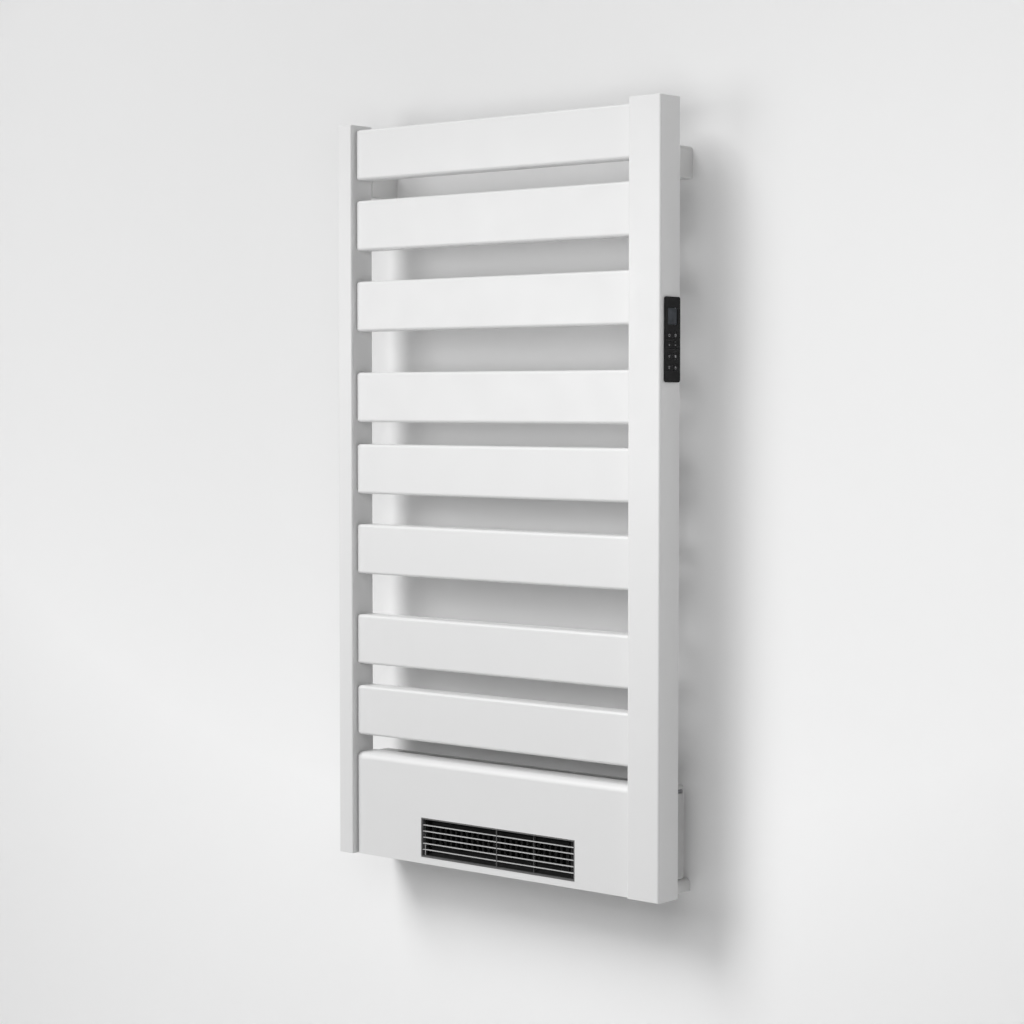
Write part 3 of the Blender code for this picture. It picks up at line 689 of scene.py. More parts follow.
def carve(piece, *cutters):
    """Cut other pieces away, and throw the cutters away."""
    for tool in cutters:
        boolean = piece.modifiers.new("carve", "BOOLEAN")
        boolean.operation = "DIFFERENCE"
        boolean.solver = "EXACT"
        boolean.object = tool
    freeze(piece)
    for tool in cutters:
        bpy.data.objects.remove(tool)
    return smooth(piece)


def soft_box(name, low, high, rim, material):
    """A box with softened edges, for small moulded parts."""
    return smooth(soften(plain_box(name, low, high, material), rim))


def merge_pieces(first, *others):
    """One piece out of several that ride on the same body."""
    shape = bmesh.new()
    for piece in (first, *others):
        shape.from_mesh(piece.data)
    shape.to_mesh(first.data)
    shape.free()
    for piece in others:
        bpy.data.objects.remove(piece)
    return smooth(first)


# %% [markdown]
# ## Turned parts
#
# Screws, glands and holes are turned shapes: a profile of radius and height
# that goes once round an axis. Rings of points are joined to each other here,
# and a radius of 0 makes a single point, so the poles are closed and the faces
# look outwards as long as the profile is drawn upwards.

# %% The turning helper
def turned(name, profile, place, material=None, turn=None, sides=40):
    """Turn a profile of (radius, height) round Z, then put it in its place."""
    shape = bmesh.new()
    rings = []
    for radius, height in profile:
        if radius == 0:
            rings.append([shape.verts.new((0, 0, height))])
            continue
        angles = [2 * math.pi * step / sides for step in range(sides)]
        ring = [(radius * math.cos(angle), radius * math.sin(angle), height) for angle in angles]
        rings.append([shape.verts.new(point) for point in ring])
    for lower, upper in zip(rings, rings[1:]):
        for step in range(sides):
            after = (step + 1) % sides
            if len(lower) == 1:
                shape.faces.new((lower[0], upper[after], upper[step]))
            elif len(upper) == 1:
                shape.faces.new((lower[step], lower[after], upper[0]))
            else:
                shape.faces.new((lower[step], lower[after], upper[after], upper[step]))
    return move(piece_from(shape, name, material), place, turn)


def hole(place, radius, reach, turn=None):
    """A round cutter, reaching both ways along its axis."""
    profile = [(0, -reach), (radius, -reach), (radius, reach), (0, reach)]
    return turned("cutter", profile, place, turn=turn)


# %% [markdown]
# ## Slats
#
# Each slat is a flat steel tube with its ends welded shut and ground round, so
# every edge is rolled over by the same few millimetres. The rounded block fits
# this exactly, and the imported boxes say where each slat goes. The gaps between
# them are uneven on purpose: the wider ones take a folded towel.

# %% Slats
SLAT_COUNT = 8
SLAT_ROUNDING = 0.0042

for number in range(1, SLAT_COUNT + 1):
    low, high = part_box(f"slat_{number}")
    slat = rounded_block(f"slat_tube_{number}", low, high, SLAT_ROUNDING, enamel)
    settle(slat, "frame", "white_enamel", f"slat_{number}")
    print("slat", number, "from", round(low.z, 3), "to", round(high.z, 3))

# %% [markdown]
# ## Uprights
#
# The uprights are square tubes with tight corners. Their ends are closed by
# welded caps, ground flush before painting, so tube and caps are made as one
# closed prism. The right one has an opening in its outer side for the keypad's
# tub, and the keypad's rim overlaps the edge of that opening.

# %% Uprights
UPRIGHT_ROUNDING = 0.0028
UPRIGHT_RIM = 0.0009
TUB_REACH = 0.0005
TUB_OVERLAP = 0.0012

for side in ("left", "right"):
    low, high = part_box(f"{side}_upright")
    low.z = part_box(f"{side}_bottom_cap")[0].z
    high.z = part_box(f"{side}_top_cap")[1].z
    tube = prism(f"{side}_tube", low, high, "Z", UPRIGHT_ROUNDING, enamel, UPRIGHT_RIM)
    if side == "right":
        tub_low, tub_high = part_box("control_bezel")
        inset = Vector((TUB_REACH, -TUB_OVERLAP, -TUB_OVERLAP))
        carve(tube, cutter(tub_low - inset, tub_high + inset))
    settle(tube, "frame", "white_enamel", f"{side}_upright", f"{side}_top_cap", f"{side}_bottom_cap")
    print(side, "upright is", round((high.x - low.x) * 1000, 1), "mm wide")

# %% [markdown]
# ## Front cover
#
# The fan unit's cover is one folded and drawn steel sheet. It is open at the
# back, its top edge is rolled over in a wide curve, and its corners in a tight
# one. A box without its back is rounded by a Bevel that reads a weight on each
# edge, Solidify gives it the sheet's thickness, and a Boolean cuts the window.

# %% Front cover
COVER_SHEET = 0.0016
COVER_ROLL = 0.010
CORNER_SHARE = 0.4
ROLL_STEPS = 10
WINDOW_REACH = 0.004
NEARLY = 0.99


def on_sides(edge, half, **sides):
    """True where both ends of an edge lie on the named sides of a box."""
    return all(vert.co["xyz".index(axis)] * side > NEARLY * half["xyz".index(axis)]
               for vert in edge.verts for axis, side in sides.items())


def open_backed_box(name, size, material):
    """A box without its back, with a bevel weight on its front and top edges."""
    shape = bmesh.new()
    bmesh.ops.create_cube(shape, size=1.0)
    bmesh.ops.scale(shape, vec=size, verts=shape.verts)
    back = [face for face in shape.faces if face.normal.y > NEARLY]
    bmesh.ops.delete(shape, geom=back, context="FACES")
    weight = shape.edges.layers.float.new("bevel_weight_edge")
    corners = [{"x": x, **other} for x in (-1, 1) for other in ({"y": -1}, {"z": 1})]
    for edge in shape.edges:
        if on_sides(edge, size / 2, y=-1, z=1):
            edge[weight] = 1.0
        elif any(on_sides(edge, size / 2, **corner) for corner in corners):
            edge[weight] = CORNER_SHARE
    return piece_from(shape, name, material)


cover_low, cover_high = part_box("front_cover")
cover = open_backed_box("front_panel", cover_high - cover_low, enamel)
roll = cover.modifiers.new("roll", "BEVEL")
roll.width = COVER_ROLL
roll.segments = ROLL_STEPS
roll.limit_method = "WEIGHT"
sheet = cover.modifiers.new("sheet", "SOLIDIFY")
sheet.thickness = COVER_SHEET
sheet.offset = -1.0
sheet.use_even_offset = True
move(freeze(cover), (cover_low + cover_high) / 2)

grille_low, grille_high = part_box("outlet_grille")
margin = Vector((FIT, WINDOW_REACH, FIT))
carve(cover, cutter(grille_low - margin, grille_high + margin))
settle(cover, "frame", "white_enamel", "front_cover")
print("front panel faces:", len(cover.data.polygons))

# %% [markdown]
# ## Outlet grille
#
# The outlet is a moulded frame with five thin level bars, flattened like
# blades so that they guide the air. Bars repeat, so a tree sets them out:
# points along a line, and one bar on each point. A thin upright post belongs
# to the frame and holds the bars at their middle.

# %% The grille's tree
BAR_SIDES = 16


def grille_tree():
    """The tree that puts a flattened bar on each point of an upright line."""
    tree, given, output = new_tree("outlet_bars", {
        "Width": "Float", "Height": "Float", "Depth": "Float", "Bars": "Int", "Bar": "Float",
        "Material": "Material"})
    pitch = calc(tree, "DIVIDE", given["Height"], calc(tree, "ADD", given["Bars"], 1.0))
    lowest = calc(tree, "SUBTRACT", pitch, calc(tree, "MULTIPLY", given["Height"], 0.5))
    line = add_node(tree, "GeometryNodeMeshLine", mode="OFFSET")
    tree.links.new(given["Bars"], line.inputs["Count"])
    tree.links.new(vector(tree, 0.0, 0.0, lowest), line.inputs["Start Location"])
    tree.links.new(vector(tree, 0.0, 0.0, pitch), line.inputs["Offset"])

    rod = put(tree, "GeometryNodeMeshCylinder", "Mesh", {"fill_type": "NGON"}, Vertices=BAR_SIDES,
              Radius=calc(tree, "MULTIPLY", given["Bar"], 0.5), Depth=given["Width"])
    laid = put(tree, "GeometryNodeTransform", "Geometry", Geometry=rod, Rotation=(0, math.pi / 2, 0))
    flat = calc(tree, "DIVIDE", given["Depth"], given["Bar"])
    blade = put(tree, "GeometryNodeTransform", "Geometry", Geometry=laid,
                Scale=vector(tree, 1.0, flat, 1.0))
    blades = put(tree, "GeometryNodeInstanceOnPoints", "Instances", Points=line.outputs["Mesh"],
                 Instance=blade)
    return close_tree(tree, blades, given["Material"], output)


# %% Grille frame, bars and the rib behind them
GRILLE_ROUNDING = 0.0006
GRILLE_RIM = 0.0016
GRILLE_BAR = 0.0014
GRILLE_BARS = 5
BAR_DEPTH = 0.7
POST_HALF = 0.0004
POST_INSET = 0.0008
POST_RIM = 0.0001
RIB_X = 0.062
RIB_THICK = 0.001
RIB_BACK = 0.0036
RIB_RIM = 0.0002

rim = Vector((GRILLE_RIM, 0, GRILLE_RIM))
past = Vector((0, PAST, 0))
grille_frame = prism("grille_frame", grille_low, grille_high, "Y", GRILLE_ROUNDING, grille_plastic,
                     SMALL_RIM, FEW_STEPS)
carve(grille_frame, cutter(grille_low + rim - past, grille_high - rim + past))
grille_middle = (grille_low + grille_high) / 2
post_end = GRILLE_RIM / 2
post_low = Vector((grille_middle.x - POST_HALF, grille_low.y + POST_INSET, grille_low.z + post_end))
post_high = Vector((grille_middle.x + POST_HALF, grille_middle.y, grille_high.z - post_end))
merge_pieces(grille_frame, soft_box("post", post_low, post_high, POST_RIM, grille_plastic))
settle(grille_frame, "frame", "grey_plastic", "outlet_grille")

inner = grille_high - grille_low - 2 * rim
grille_bars = run_tree("grille_bars", grille_tree(), Width=inner.x, Height=inner.z,
                       Depth=inner.y * BAR_DEPTH, Bars=GRILLE_BARS, Bar=GRILLE_BAR, Material=bar_plastic)
settle(move(smooth(grille_bars), grille_middle), "frame", "grey_plastic", "outlet_grille")

rib_low = Vector((RIB_X, grille_high.y + FIT, grille_low.z + GRILLE_RIM))
rib_high = Vector((RIB_X + RIB_THICK, grille_high.y + RIB_BACK, grille_high.z - GRILLE_RIM))
rib = soft_box("duct_rib", rib_low, rib_high, RIB_RIM, grille_plastic)
settle(rib, "frame", "grey_plastic")
print("grille opening", round(inner.x * 1000, 1), "x", round(inner.z * 1000, 1), "mm")

# %% [markdown]
# ## Rear casing
#
# The casing behind the cover is moulded in one piece, open towards the front.
# It is a rounded block that is hollowed out. Its front rounding would be in
# the way, so the block is made longer and its front is cut off. Air comes in
# through windows in the top, the filter slides out through a slot in the right
# side, and the supply cable comes in through a hole in the floor.

# %% Casing shell
CASING_ROUNDING = 0.004
CASING_WALL = 0.002
WINDOWS = 9
WINDOW_BAR = 0.003
FILTER_EDGE = 0.003
INTAKE_INSET = 0.004
MOTOR_SIDE = 0.014
SLOT_DEPTH = 0.006
RAIL_HEIGHT = 0.0016
GLAND_RADIUS = 0.0078

casing_low, casing_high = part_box("rear_casing")
tray_low, tray_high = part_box("filter_tray")
gland_low, gland_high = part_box("cable_gland")
gland_middle = (gland_low + gland_high) / 2
wall = Vector((CASING_WALL, CASING_WALL, CASING_WALL))
extra = Vector((0, CASING_ROUNDING * 2, 0))
outside = Vector((PAST, 0, PAST))
front_high = Vector((casing_high.x, casing_low.y, casing_high.z))

casing = rounded_block("casing_shell", casing_low - extra, casing_high, CASING_ROUNDING, casing_plastic)
cutters = [
    cutter(casing_low - extra * 2 - outside, front_high + outside),
    cutter(casing_low + wall - extra * 2, casing_high - wall),
    cutter((casing_high.x - SLOT_DEPTH, tray_low.y - FIT, tray_low.z - FIT),
           (casing_high.x + PAST, tray_high.y + FIT, tray_high.z + FIT)),
]
intake_low = tray_low.x + INTAKE_INSET
intake_pitch = (casing_high.x - MOTOR_SIDE - intake_low) / WINDOWS


def spans(bar):
    """Left and right ends of the openings along the intake, with bars between."""
    lefts = [intake_low + index * intake_pitch + bar / 2 for index in range(WINDOWS)]
    return [(left, left + intake_pitch - bar) for left in lefts]


for left, right in spans(WINDOW_BAR):
    cutters.append(cutter((left, tray_low.y + FILTER_EDGE, casing_high.z - 2 * CASING_WALL),
                          (right, tray_high.y - FILTER_EDGE, casing_high.z + PAST)))
cutters.append(hole((gland_middle.x, gland_middle.y, casing_low.z), GLAND_RADIUS + FIT, PAST))
carve(casing, *cutters)

rails = []
rail_top = tray_low.z - FIT
front_rail = (max(tray_low.y - FILTER_EDGE, casing_low.y), tray_low.y + FILTER_EDGE)
back_rail = (tray_high.y - FILTER_EDGE, casing_high.y - CASING_WALL / 2)
for near, far in (front_rail, back_rail):
    rails.append(soft_box("rail", (tray_low.x - INTAKE_INSET, near, rail_top - RAIL_HEIGHT),
                          (casing_high.x - CASING_WALL / 2, far, rail_top), SMALL_RIM, casing_plastic))
merge_pieces(casing, *rails)
settle(casing, "frame", "white_plastic", "rear_casing")
print("casing faces:", len(casing.data.polygons), "window pitch", round(intake_pitch * 1000, 1), "mm")

# %% [markdown]
# ## Intake ribs and dust filter
#
# Thin ribs across each intake window keep fingers and towels out. They repeat
# by the hundred, so each is only a plain little bar, set out along a line by a
# tree. The filter below them is a frame of cells with a fine net, which is
# woven from two sets of threads by the same tree, run twice.

# %% The tree for a row of bars
def bar_row_tree():
    """The tree that puts a plain bar on each point of a level line."""
    tree, given, output = new_tree("bar_row", {
        "Count": "Int", "Pitch": "Float", "Thickness": "Float", "Length": "Float", "Height": "Float",
        "Material": "Material"})
    line = add_node(tree, "GeometryNodeMeshLine", mode="OFFSET")
    gaps = calc(tree, "SUBTRACT", given["Count"], 1.0)
    start = calc(tree, "MULTIPLY", calc(tree, "MULTIPLY", gaps, given["Pitch"]), -0.5)
    tree.links.new(given["Count"], line.inputs["Count"])
    tree.links.new(vector(tree, start, 0.0, 0.0), line.inputs["Start Location"])
    tree.links.new(vector(tree, given["Pitch"], 0.0, 0.0), line.inputs["Offset"])
    bar = put(tree, "GeometryNodeMeshCube", "Mesh",
              Size=vector(tree, given["Thickness"], given["Length"], given["Height"]))
    bars = put(tree, "GeometryNodeInstanceOnPoints", "Instances", Points=line.outputs["Mesh"],
               Instance=bar)
    return close_tree(tree, bars, given["Material"], output)


BAR_ROW = bar_row_tree()
QUARTER_TURN = Matrix.Rotation(math.pi / 2, 4, "Z")


def bar_row(name, low, high, pitch, thickness, material, across=False):
    """Bars that fill a box: along Y and set out along X, or the other way."""
    size = high - low
    run, length = (size.y, size.x) if across else (size.x, size.y)
    piece = run_tree(name, BAR_ROW, Count=int(run / pitch), Pitch=pitch, Thickness=thickness,
                     Length=length, Height=size.z, Material=material)
    return move(piece, (low + high) / 2, QUARTER_TURN if across else None)


# %% Intake ribs, filter frame and net
RIB_PITCH = 0.0042
RIB_THICKNESS = 0.0011
RIB_INSET = 0.0004
TUCK = 0.0005
TRAY_ROUNDING = 0.0010
CELL_BAR = 0.002
NET_PITCH = 0.0016
NET_THREAD = 0.0003
WEAVE = 0.8

open_low = Vector((intake_low, tray_low.y + FILTER_EDGE - TUCK, 0))
open_high = Vector((intake_low + intake_pitch * WINDOWS, tray_high.y - FILTER_EDGE + TUCK, 0))


def raised(corner, height):
    """A corner of the open part of the intake, at another height."""
    return Vector((corner.x, corner.y, height))


ribs = bar_row("intake_ribs", raised(open_low, casing_high.z - CASING_WALL),
               raised(open_high, casing_high.z - RIB_INSET), RIB_PITCH, RIB_THICKNESS, casing_plastic)
settle(ribs, "frame", "white_plastic")

tray = prism("filter_frame", tray_low, tray_high, "Z", TRAY_ROUNDING, filter_plastic, SMALL_RIM,
             FEW_STEPS)
carve(tray, *[cutter((left, tray_low.y + FILTER_EDGE, tray_low.z - PAST),
                     (right, tray_high.y - FILTER_EDGE, tray_high.z + PAST))
              for left, right in spans(CELL_BAR)])
settle(tray, "filter", "grey_plastic", "filter_tray")

net_middle = (tray_low.z + tray_high.z) / 2
net_low = raised(open_low, net_middle - NET_THREAD / 2)
net_high = raised(open_high, net_middle + NET_THREAD / 2)
over = Vector((0, 0, NET_THREAD * WEAVE))
net = bar_row("filter_net", net_low, net_high, NET_PITCH, NET_THREAD, filter_net)
weft = bar_row("weft", net_low + over, net_high + over, NET_PITCH, NET_THREAD, filter_net, True)
settle(merge_pieces(net, weft), "filter", "grey_plastic")
print("ribs", len(ribs.data.polygons) // 6, "net threads", len(net.data.polygons) // 6)

# %% [markdown]
# ## Spacers, wall plates and screws
#
# Four moulded spacers hold the warmer off the wall. They are hollow from the
# wall side, and the upper two clip over steel plates that are screwed to the
# wall. Seen from the side a spacer has large soft corners, which a prism with
# one rounding can't give, so the outline is drawn here corner by corner.

# %% Spacers
UPPER_CORNERS = (0.003, 0.003, 0.0055, 0.0055)
LOWER_CORNERS = (0.0015, 0.0015, 0.0085, 0.0085)
SPACER_WALL = 0.0028
SPACER_FLOOR = 0.005
SPACER_RIM = 0.0005
POCKET_RIM = 0.0012
BORE_RADIUS = 0.0028
BORE_REACH = 0.008
CORNER_STEPS = 8


def drawn_outline(low_x, high_x, low_z, high_z, corners):
    """A rectangle whose four corners have their own radius, drawn round once
    from its lower left corner."""
    starts = ((low_x, low_z, 1, 1), (high_x, low_z, -1, 1), (high_x, high_z, -1, -1),
              (low_x, high_z, 1, -1))
    points = []
    for quarter, ((x, z, to_x, to_z), radius) in enumerate(zip(starts, corners)):
        for step in range(CORNER_STEPS + 1):
            angle = math.pi * (1 + quarter / 2 + step / CORNER_STEPS / 2)
            points.append((x + radius * (to_x + math.cos(angle)), z + radius * (to_z + math.sin(angle))))
    return points


def spacer_block(name, low, high, corners, material):
    """An outline drawn in X and Z, pulled back along Y and softened in front."""
    shape = bmesh.new()
    outline = drawn_outline(low.x, high.x, low.z, high.z, corners)
    face = shape.faces.new([shape.verts.new((x, low.y, z)) for x, z in outline])
    pulled = bmesh.ops.extrude_face_region(shape, geom=[face], use_keep_orig=True)["geom"]
    verts = [item for item in pulled if isinstance(item, bmesh.types.BMVert)]
    bmesh.ops.translate(shape, vec=(0, high.y - low.y, 0), verts=verts)
    bmesh.ops.recalc_face_normals(shape, faces=shape.faces)
    return soften(piece_from(shape, name, material), SPACER_RIM)


for level, corners in (("upper", UPPER_CORNERS), ("lower", LOWER_CORNERS)):
    for side in ("left", "right"):
        low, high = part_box(f"{level}_{side}_spacer")
        middle = (low + high) / 2
        spacer = spacer_block(f"{level}_{side}_standoff", low, high, corners, spacer_plastic)
        inset = Vector((SPACER_WALL, 0, SPACER_WALL))
        pocket = soft_box("cutter", low + inset + Vector((0, SPACER_FLOOR, 0)),
                          high - inset + past, POCKET_RIM, spacer_plastic)
        bore = hole((middle.x, low.y, middle.z), BORE_RADIUS, BORE_REACH, ALONG["Y"])
        settle(carve(spacer, pocket, bore), "frame", "white_plastic", f"{level}_{side}_spacer")
print("a lower spacer stands", round((high.y - low.y) * 1000, 1), "mm off the wall")

# %% Wall plates
PLATE_ROUNDING = 0.0012
PLATE_HOLE = 0.00275

for side in ("left", "right"):
    low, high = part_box(f"upper_{side}_wall_plate")
    plate = prism(f"{side}_hanging_plate", low, high, "Y", PLATE_ROUNDING, zinc_plate, SMALL_RIM)
    carve(plate, hole((low + high) / 2, PLATE_HOLE, PAST, ALONG["Y"]))
    settle(plate, "frame", "steel", f"upper_{side}_wall_plate")
print("wall plate", [round(x * 1000, 1) for x in high - low], "mm")

# %% [markdown]
# ## Screws
#
# One hexagon-head screw with a pressed washer holds each spacer to its
# upright. All four are the same, so a tree puts one screw, given as a turned
# mesh, on each of four points. The points are the base mesh of the piece.

# %% Screws
SCREW_NODES = [f"{level}_{side}_screw" for level in ("upper", "lower") for side in ("left", "right")]
HEAD_REACH = 0.0046
HEAD_HEIGHT = 0.0042
HEAD_ROUND = 0.0005
SHANK = 0.0024
ROOT = SHANK * 0.78
THREAD_STEP = 0.0011
WASHER = 0.0008


def screw_mesh(length):
    """A screw along Z with its head's top at 0: thread below, washer, head."""
    profile = [(0, -length)]
    height = -length
    while height < -HEAD_HEIGHT - THREAD_STEP:
        profile += [(ROOT, height), (SHANK, height + THREAD_STEP / 2)]
        height += THREAD_STEP
    seat = -HEAD_HEIGHT + WASHER
    profile += [(ROOT, -HEAD_HEIGHT), (HEAD_REACH, -HEAD_HEIGHT), (HEAD_REACH, seat),
                (HEAD_REACH * 0.9, seat), (0, seat)]
    screw = turned("screw", profile, (0, 0, 0), zinc_plate, sides=24)
    neck = HEAD_REACH * 0.92
    foot = seat - WASHER / 2
    hexagon = [(0, foot), (neck, foot), (neck, -HEAD_ROUND), (neck * 0.86, 0), (0, 0)]
    return merge_pieces(screw, turned("head", hexagon, (0, 0, 0), zinc_plate, sides=6))


def screws_tree():
    """The tree that puts a screw on each point, turned to look forwards."""
    tree, given, output = new_tree("screws", {
        "Points": "Geometry", "Screw": "Object", "Material": "Material"})
    screw = put(tree, "GeometryNodeObjectInfo", "Geometry", Object=given["Screw"])
    placed = put(tree, "GeometryNodeInstanceOnPoints", "Instances", Points=given["Points"],
                 Instance=screw, Rotation=(-math.pi / 2, 0, 0))
    return close_tree(tree, placed, given["Material"], output)


screw_points = bpy.data.meshes.new("screw_points")
heads = []
for node in SCREW_NODES:
    low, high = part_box(node)
    heads.append(((low.x + high.x) / 2, high.y, (low.z + high.z) / 2))
screw_points.from_pydata(heads, [], [])
one_screw = screw_mesh(high.y - low.y)
screws = run_tree("spacer_screws", screws_tree(), screw_points, Screw=one_screw, Material=zinc_plate)
bpy.data.objects.remove(one_screw)
settle(smooth(screws), "frame", "steel", *SCREW_NODES)
print("screws:", len(heads), "length", round((high.y - low.y) * 1000, 1), "mm")

# %% [markdown]
# ## Cable gland
#
# The supply cable enters through a gland in the casing's floor. It is turned:
# a body, a wide collar under the floor, and a domed nut with ridges for the
# fingers. No cable hangs from it here, because the cable belongs to the wall.

# %% Cable gland
COLLAR_RADIUS = 0.0105
COLLAR_LOW = 0.0080
COLLAR_HIGH = 0.0010
NUT_RADIUS = GLAND_RADIUS - 0.0004
BORE = 0.0042
RIDGES = 12
RIDGE_RADIUS = 0.0011
RIDGE_REACH = 0.006

reach = (gland_high.z - gland_low.z) / 2
floor_z = casing_low.z - gland_middle.z
seam = floor_z - FIT
gland = turned("supply_gland", [
    (BORE, -reach), (BORE + 0.0012, -reach), (NUT_RADIUS - 0.0012, -reach + 0.0012),
    (NUT_RADIUS, -reach + 0.0034), (NUT_RADIUS, floor_z - COLLAR_LOW),
    (COLLAR_RADIUS - 0.0012, floor_z - COLLAR_LOW), (COLLAR_RADIUS, floor_z - COLLAR_LOW + 0.0010),
    (COLLAR_RADIUS, floor_z - COLLAR_HIGH), (COLLAR_RADIUS - 0.0006, seam), (GLAND_RADIUS, seam),
    (GLAND_RADIUS, reach - 0.0006), (GLAND_RADIUS - 0.0006, reach),
    (BORE, reach), (BORE, -reach)], gland_middle, gland_plastic)
closing = bmesh.new()
closing.from_mesh(gland.data)
bmesh.ops.remove_doubles(closing, verts=closing.verts, dist=MERGE_GAP)
closing.to_mesh(gland.data)
closing.free()
ridges = []
collar_middle = Vector((gland_middle.x, gland_middle.y, casing_low.z - (COLLAR_LOW + COLLAR_HIGH) / 2))
for step in range(RIDGES):
    angle = 2 * math.pi * step / RIDGES
    spot = collar_middle + Vector((math.cos(angle), math.sin(angle), 0)) * COLLAR_RADIUS
    ridges.append(hole(spot, RIDGE_RADIUS, RIDGE_REACH))
settle(carve(gland, *ridges), "frame", "black_plastic", "cable_gland")
print("gland bore", BORE * 2000, "mm")

# %% [markdown]
# ## Keypad
#
# The keypad is a polished black plate over a small display and eight keys.
# Plate and keys come from the prism tree. The display lies a little below the
# plate behind its own opening, and every key stands in its own hole, a hair
# proud, so that a finger finds it.

# %% Bezel and display
BEZEL_THICKNESS = 0.002
BEZEL_ROUNDING = 0.0032
BEZEL_RIM = 0.0005
GLASS_DROP = 0.0003
GLASS_ROUNDING = 0.0004
GLASS_RIM = 0.0002
KEY_COUNT = 8
KEY_ROUNDING = 0.0014
KEY_HOLE_ROUNDING = 0.0016

bezel_low, bezel_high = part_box("control_bezel")
bezel_low.x = bezel_high.x - BEZEL_THICKNESS
bezel = prism("keypad_plate", bezel_low, bezel_high, "X", BEZEL_ROUNDING, polished_black, BEZEL_RIM)
glass_low, glass_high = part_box("display_window")
slack = Vector((PAST, FIT, FIT))
openings = [cutter(glass_low - slack, glass_high + slack)]
for number in range(1, KEY_COUNT + 1):
    low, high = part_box(f"key_{number}")
    openings.append(prism("cutter", low - slack, high + slack, "X", KEY_HOLE_ROUNDING, polished_black))
carve(bezel, *openings)
settle(bezel, "frame", "black_gloss", "control_bezel")

glass_high.x -= GLASS_DROP
glass = prism("display_pane", glass_low, glass_high, "X", GLASS_ROUNDING, display_glass, GLASS_RIM,
              FEW_STEPS)
settle(glass, "frame", "display_glass", "display_window")
print("display", round((glass_high.y - glass_low.y) * 1000, 1), "x",
      round((glass_high.z - glass_low.z) * 1000, 1), "mm")

# %% [markdown]
# ## Keys and their marks
#
# The marks are printed. Each is drawn as strokes on the key's face: a stroke
# is a list of points with a width, made into a thin raised ribbon, so that it
# is real geometry and rides on its own key. They are the plain signs that any
# heater has: on and off, clock, plus, minus, fan, heat, towel and lock.

# %% Strokes
STROKE = 0.00045
MARK_HEIGHT = 0.00006
MARK_REACH = 0.0019


def arc(middle, radius, start, end, steps=20):
    """Points on a circle, from one angle to another in degrees."""
    angles = [math.radians(start + (end - start) * step / steps) for step in range(steps + 1)]
    return [(middle[0] + radius * math.cos(a), middle[1] + radius * math.sin(a)) for a in angles]


def wave(height, steps=16):
    """A line that wavers from left to right at one height."""
    shares = [step / steps for step in range(steps + 1)]
    return [(-0.9 + 1.8 * share, height + 0.22 * math.sin(math.pi * 4 * share)) for share in shares]


MARKS = [
    [arc((0, 0), 0.85, 125, 415), [(0, 0.15), (0, 1.0)]],
    [arc((0, 0), 0.9, 0, 360), [(0, 0.55), (0, 0), (0.42, -0.2)]],
    [[(-0.8, 0), (0.8, 0)], [(0, -0.8), (0, 0.8)]],
    [[(-0.8, 0), (0.8, 0)]],
    [arc((0.42, 0.12), 0.42, 180, 20), arc((-0.31, 0.3), 0.42, 300, 140),
     arc((-0.1, -0.42), 0.42, 60, -100)],
    [wave(0.6), wave(0.0), wave(-0.6)],
    [[(-0.8, 0.8), (0.8, 0.8)], [(-0.5, 0.8), (-0.5, -0.8), (0.5, -0.8), (0.5, 0.8)]],
    [[(-0.7, 0.1), (0.7, 0.1), (0.7, -0.9), (-0.7, -0.9), (-0.7, 0.1)], arc((0, 0.1), 0.45, 0, 180)],
]


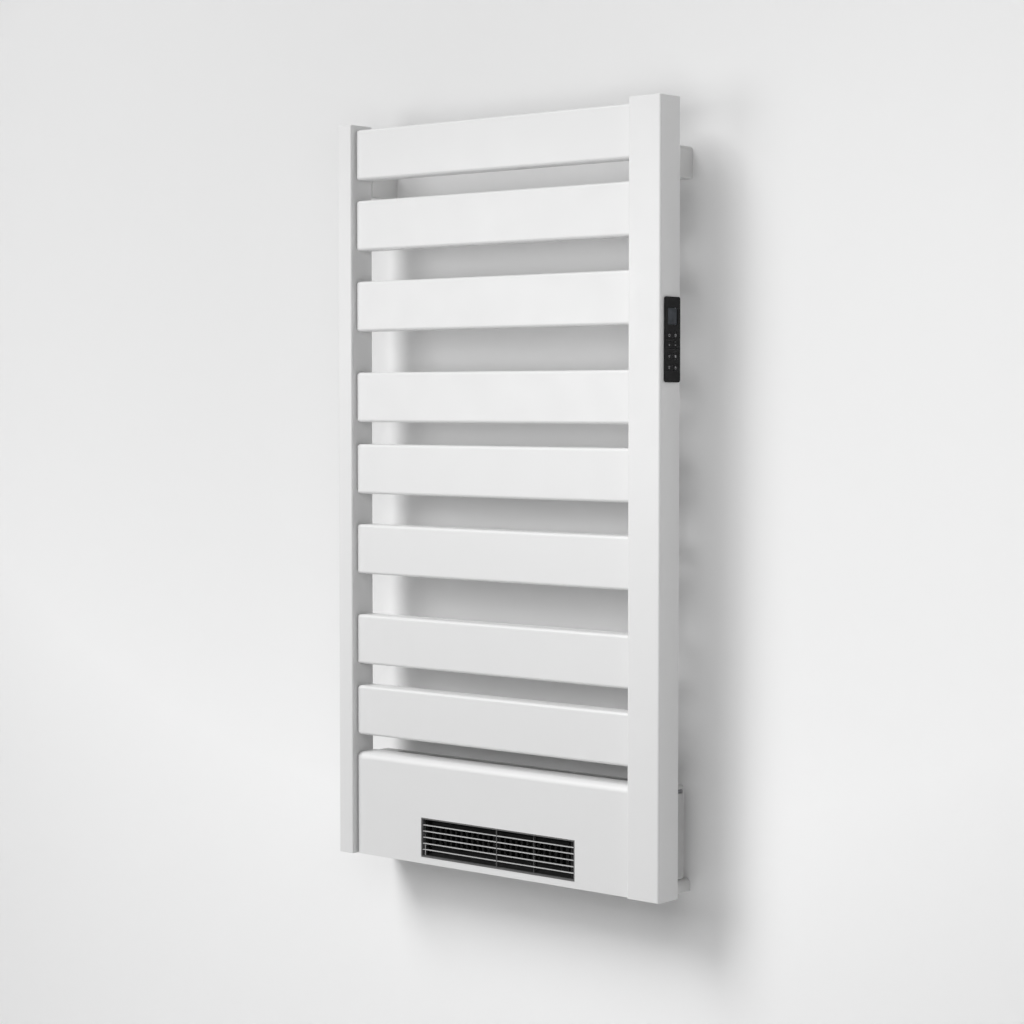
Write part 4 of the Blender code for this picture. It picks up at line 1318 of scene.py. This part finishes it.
def mark_mesh(name, strokes, face, middle, material):
    """Strokes as thin raised ribbons on a face that looks along +X."""
    shape = bmesh.new()
    for stroke in strokes:
        points = [Vector(point) * MARK_REACH for point in stroke]
        last = len(points) - 1
        closed = (points[0] - points[-1]).length < MERGE_GAP
        rails = []
        for index, point in enumerate(points):
            if closed:
                before, after = points[(index - 1) % last], points[(index + 1) % last]
            else:
                before, after = points[max(index - 1, 0)], points[min(index + 1, last)]
            along = (after - before).normalized()
            side = Vector((-along.y, along.x)) * STROKE / 2
            rails.append([shape.verts.new((face, middle[0] + p.x, middle[1] + p.y))
                          for p in (point - side, point + side)])
        for first, second in zip(rails, rails[1:]):
            shape.faces.new((first[0], second[0], second[1], first[1]))
    bmesh.ops.recalc_face_normals(shape, faces=shape.faces)
    flipped = [f for f in shape.faces if f.normal.x < 0]
    bmesh.ops.reverse_faces(shape, faces=flipped)
    piece = piece_from(shape, name, material)
    lift = piece.modifiers.new("lift", "SOLIDIFY")
    lift.thickness = MARK_HEIGHT
    lift.offset = 0.0
    return freeze(piece)


# %% Keys
FACE_DROP = 0.00012

for number in range(1, KEY_COUNT + 1):
    low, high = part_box(f"key_{number}")
    high.x -= FACE_DROP
    key = prism(f"button_{number}", low, high, "X", KEY_ROUNDING, polished_black, SMALL_RIM)
    settle(key, f"key_{number}", "black_gloss", f"key_{number}")
    middle = ((low.y + high.y) / 2, (low.z + high.z) / 2)
    mark = mark_mesh(f"button_mark_{number}", MARKS[number - 1], high.x, middle, key_print)
    settle(smooth(mark), f"key_{number}", "black_gloss")
print("keys:", KEY_COUNT, "strokes:", sum(len(strokes) for strokes in MARKS))

# %% [markdown]
# ## Everything that keeps its CAD shape
#
# Pieces hidden inside, or plain by nature, keep their solids and only get a
# finish. The record names a slot for each node. The heater gets a near-black
# finish of its own, which is painted shade: it keeps the space behind the
# grille dark.

# %% Finishes for the kept nodes
SLOT_FINISH = {
    "white_enamel": enamel,
    "white_plastic": casing_plastic,
    "grey_plastic": filter_plastic,
    "black_gloss": polished_black,
    "display_glass": display_glass,
    "black_plastic": duct_plastic,
    "steel": zinc_plate,
    "aluminium": rolled_aluminium,
    "circuit_board": board_lacquer,
}
OWN_FINISH = {"heater_core": heater_coating, "heater_frame": heater_coating}

for row in frame["record"]["subparts"]:
    chosen = OWN_FINISH.get(row["node"], SLOT_FINISH[row["material_slot"]])
    for place in nodes[row["node"]].material_slots:
        place.material = chosen
print("kept nodes:", len([n for n in nodes.values() if not n.hide_render]))
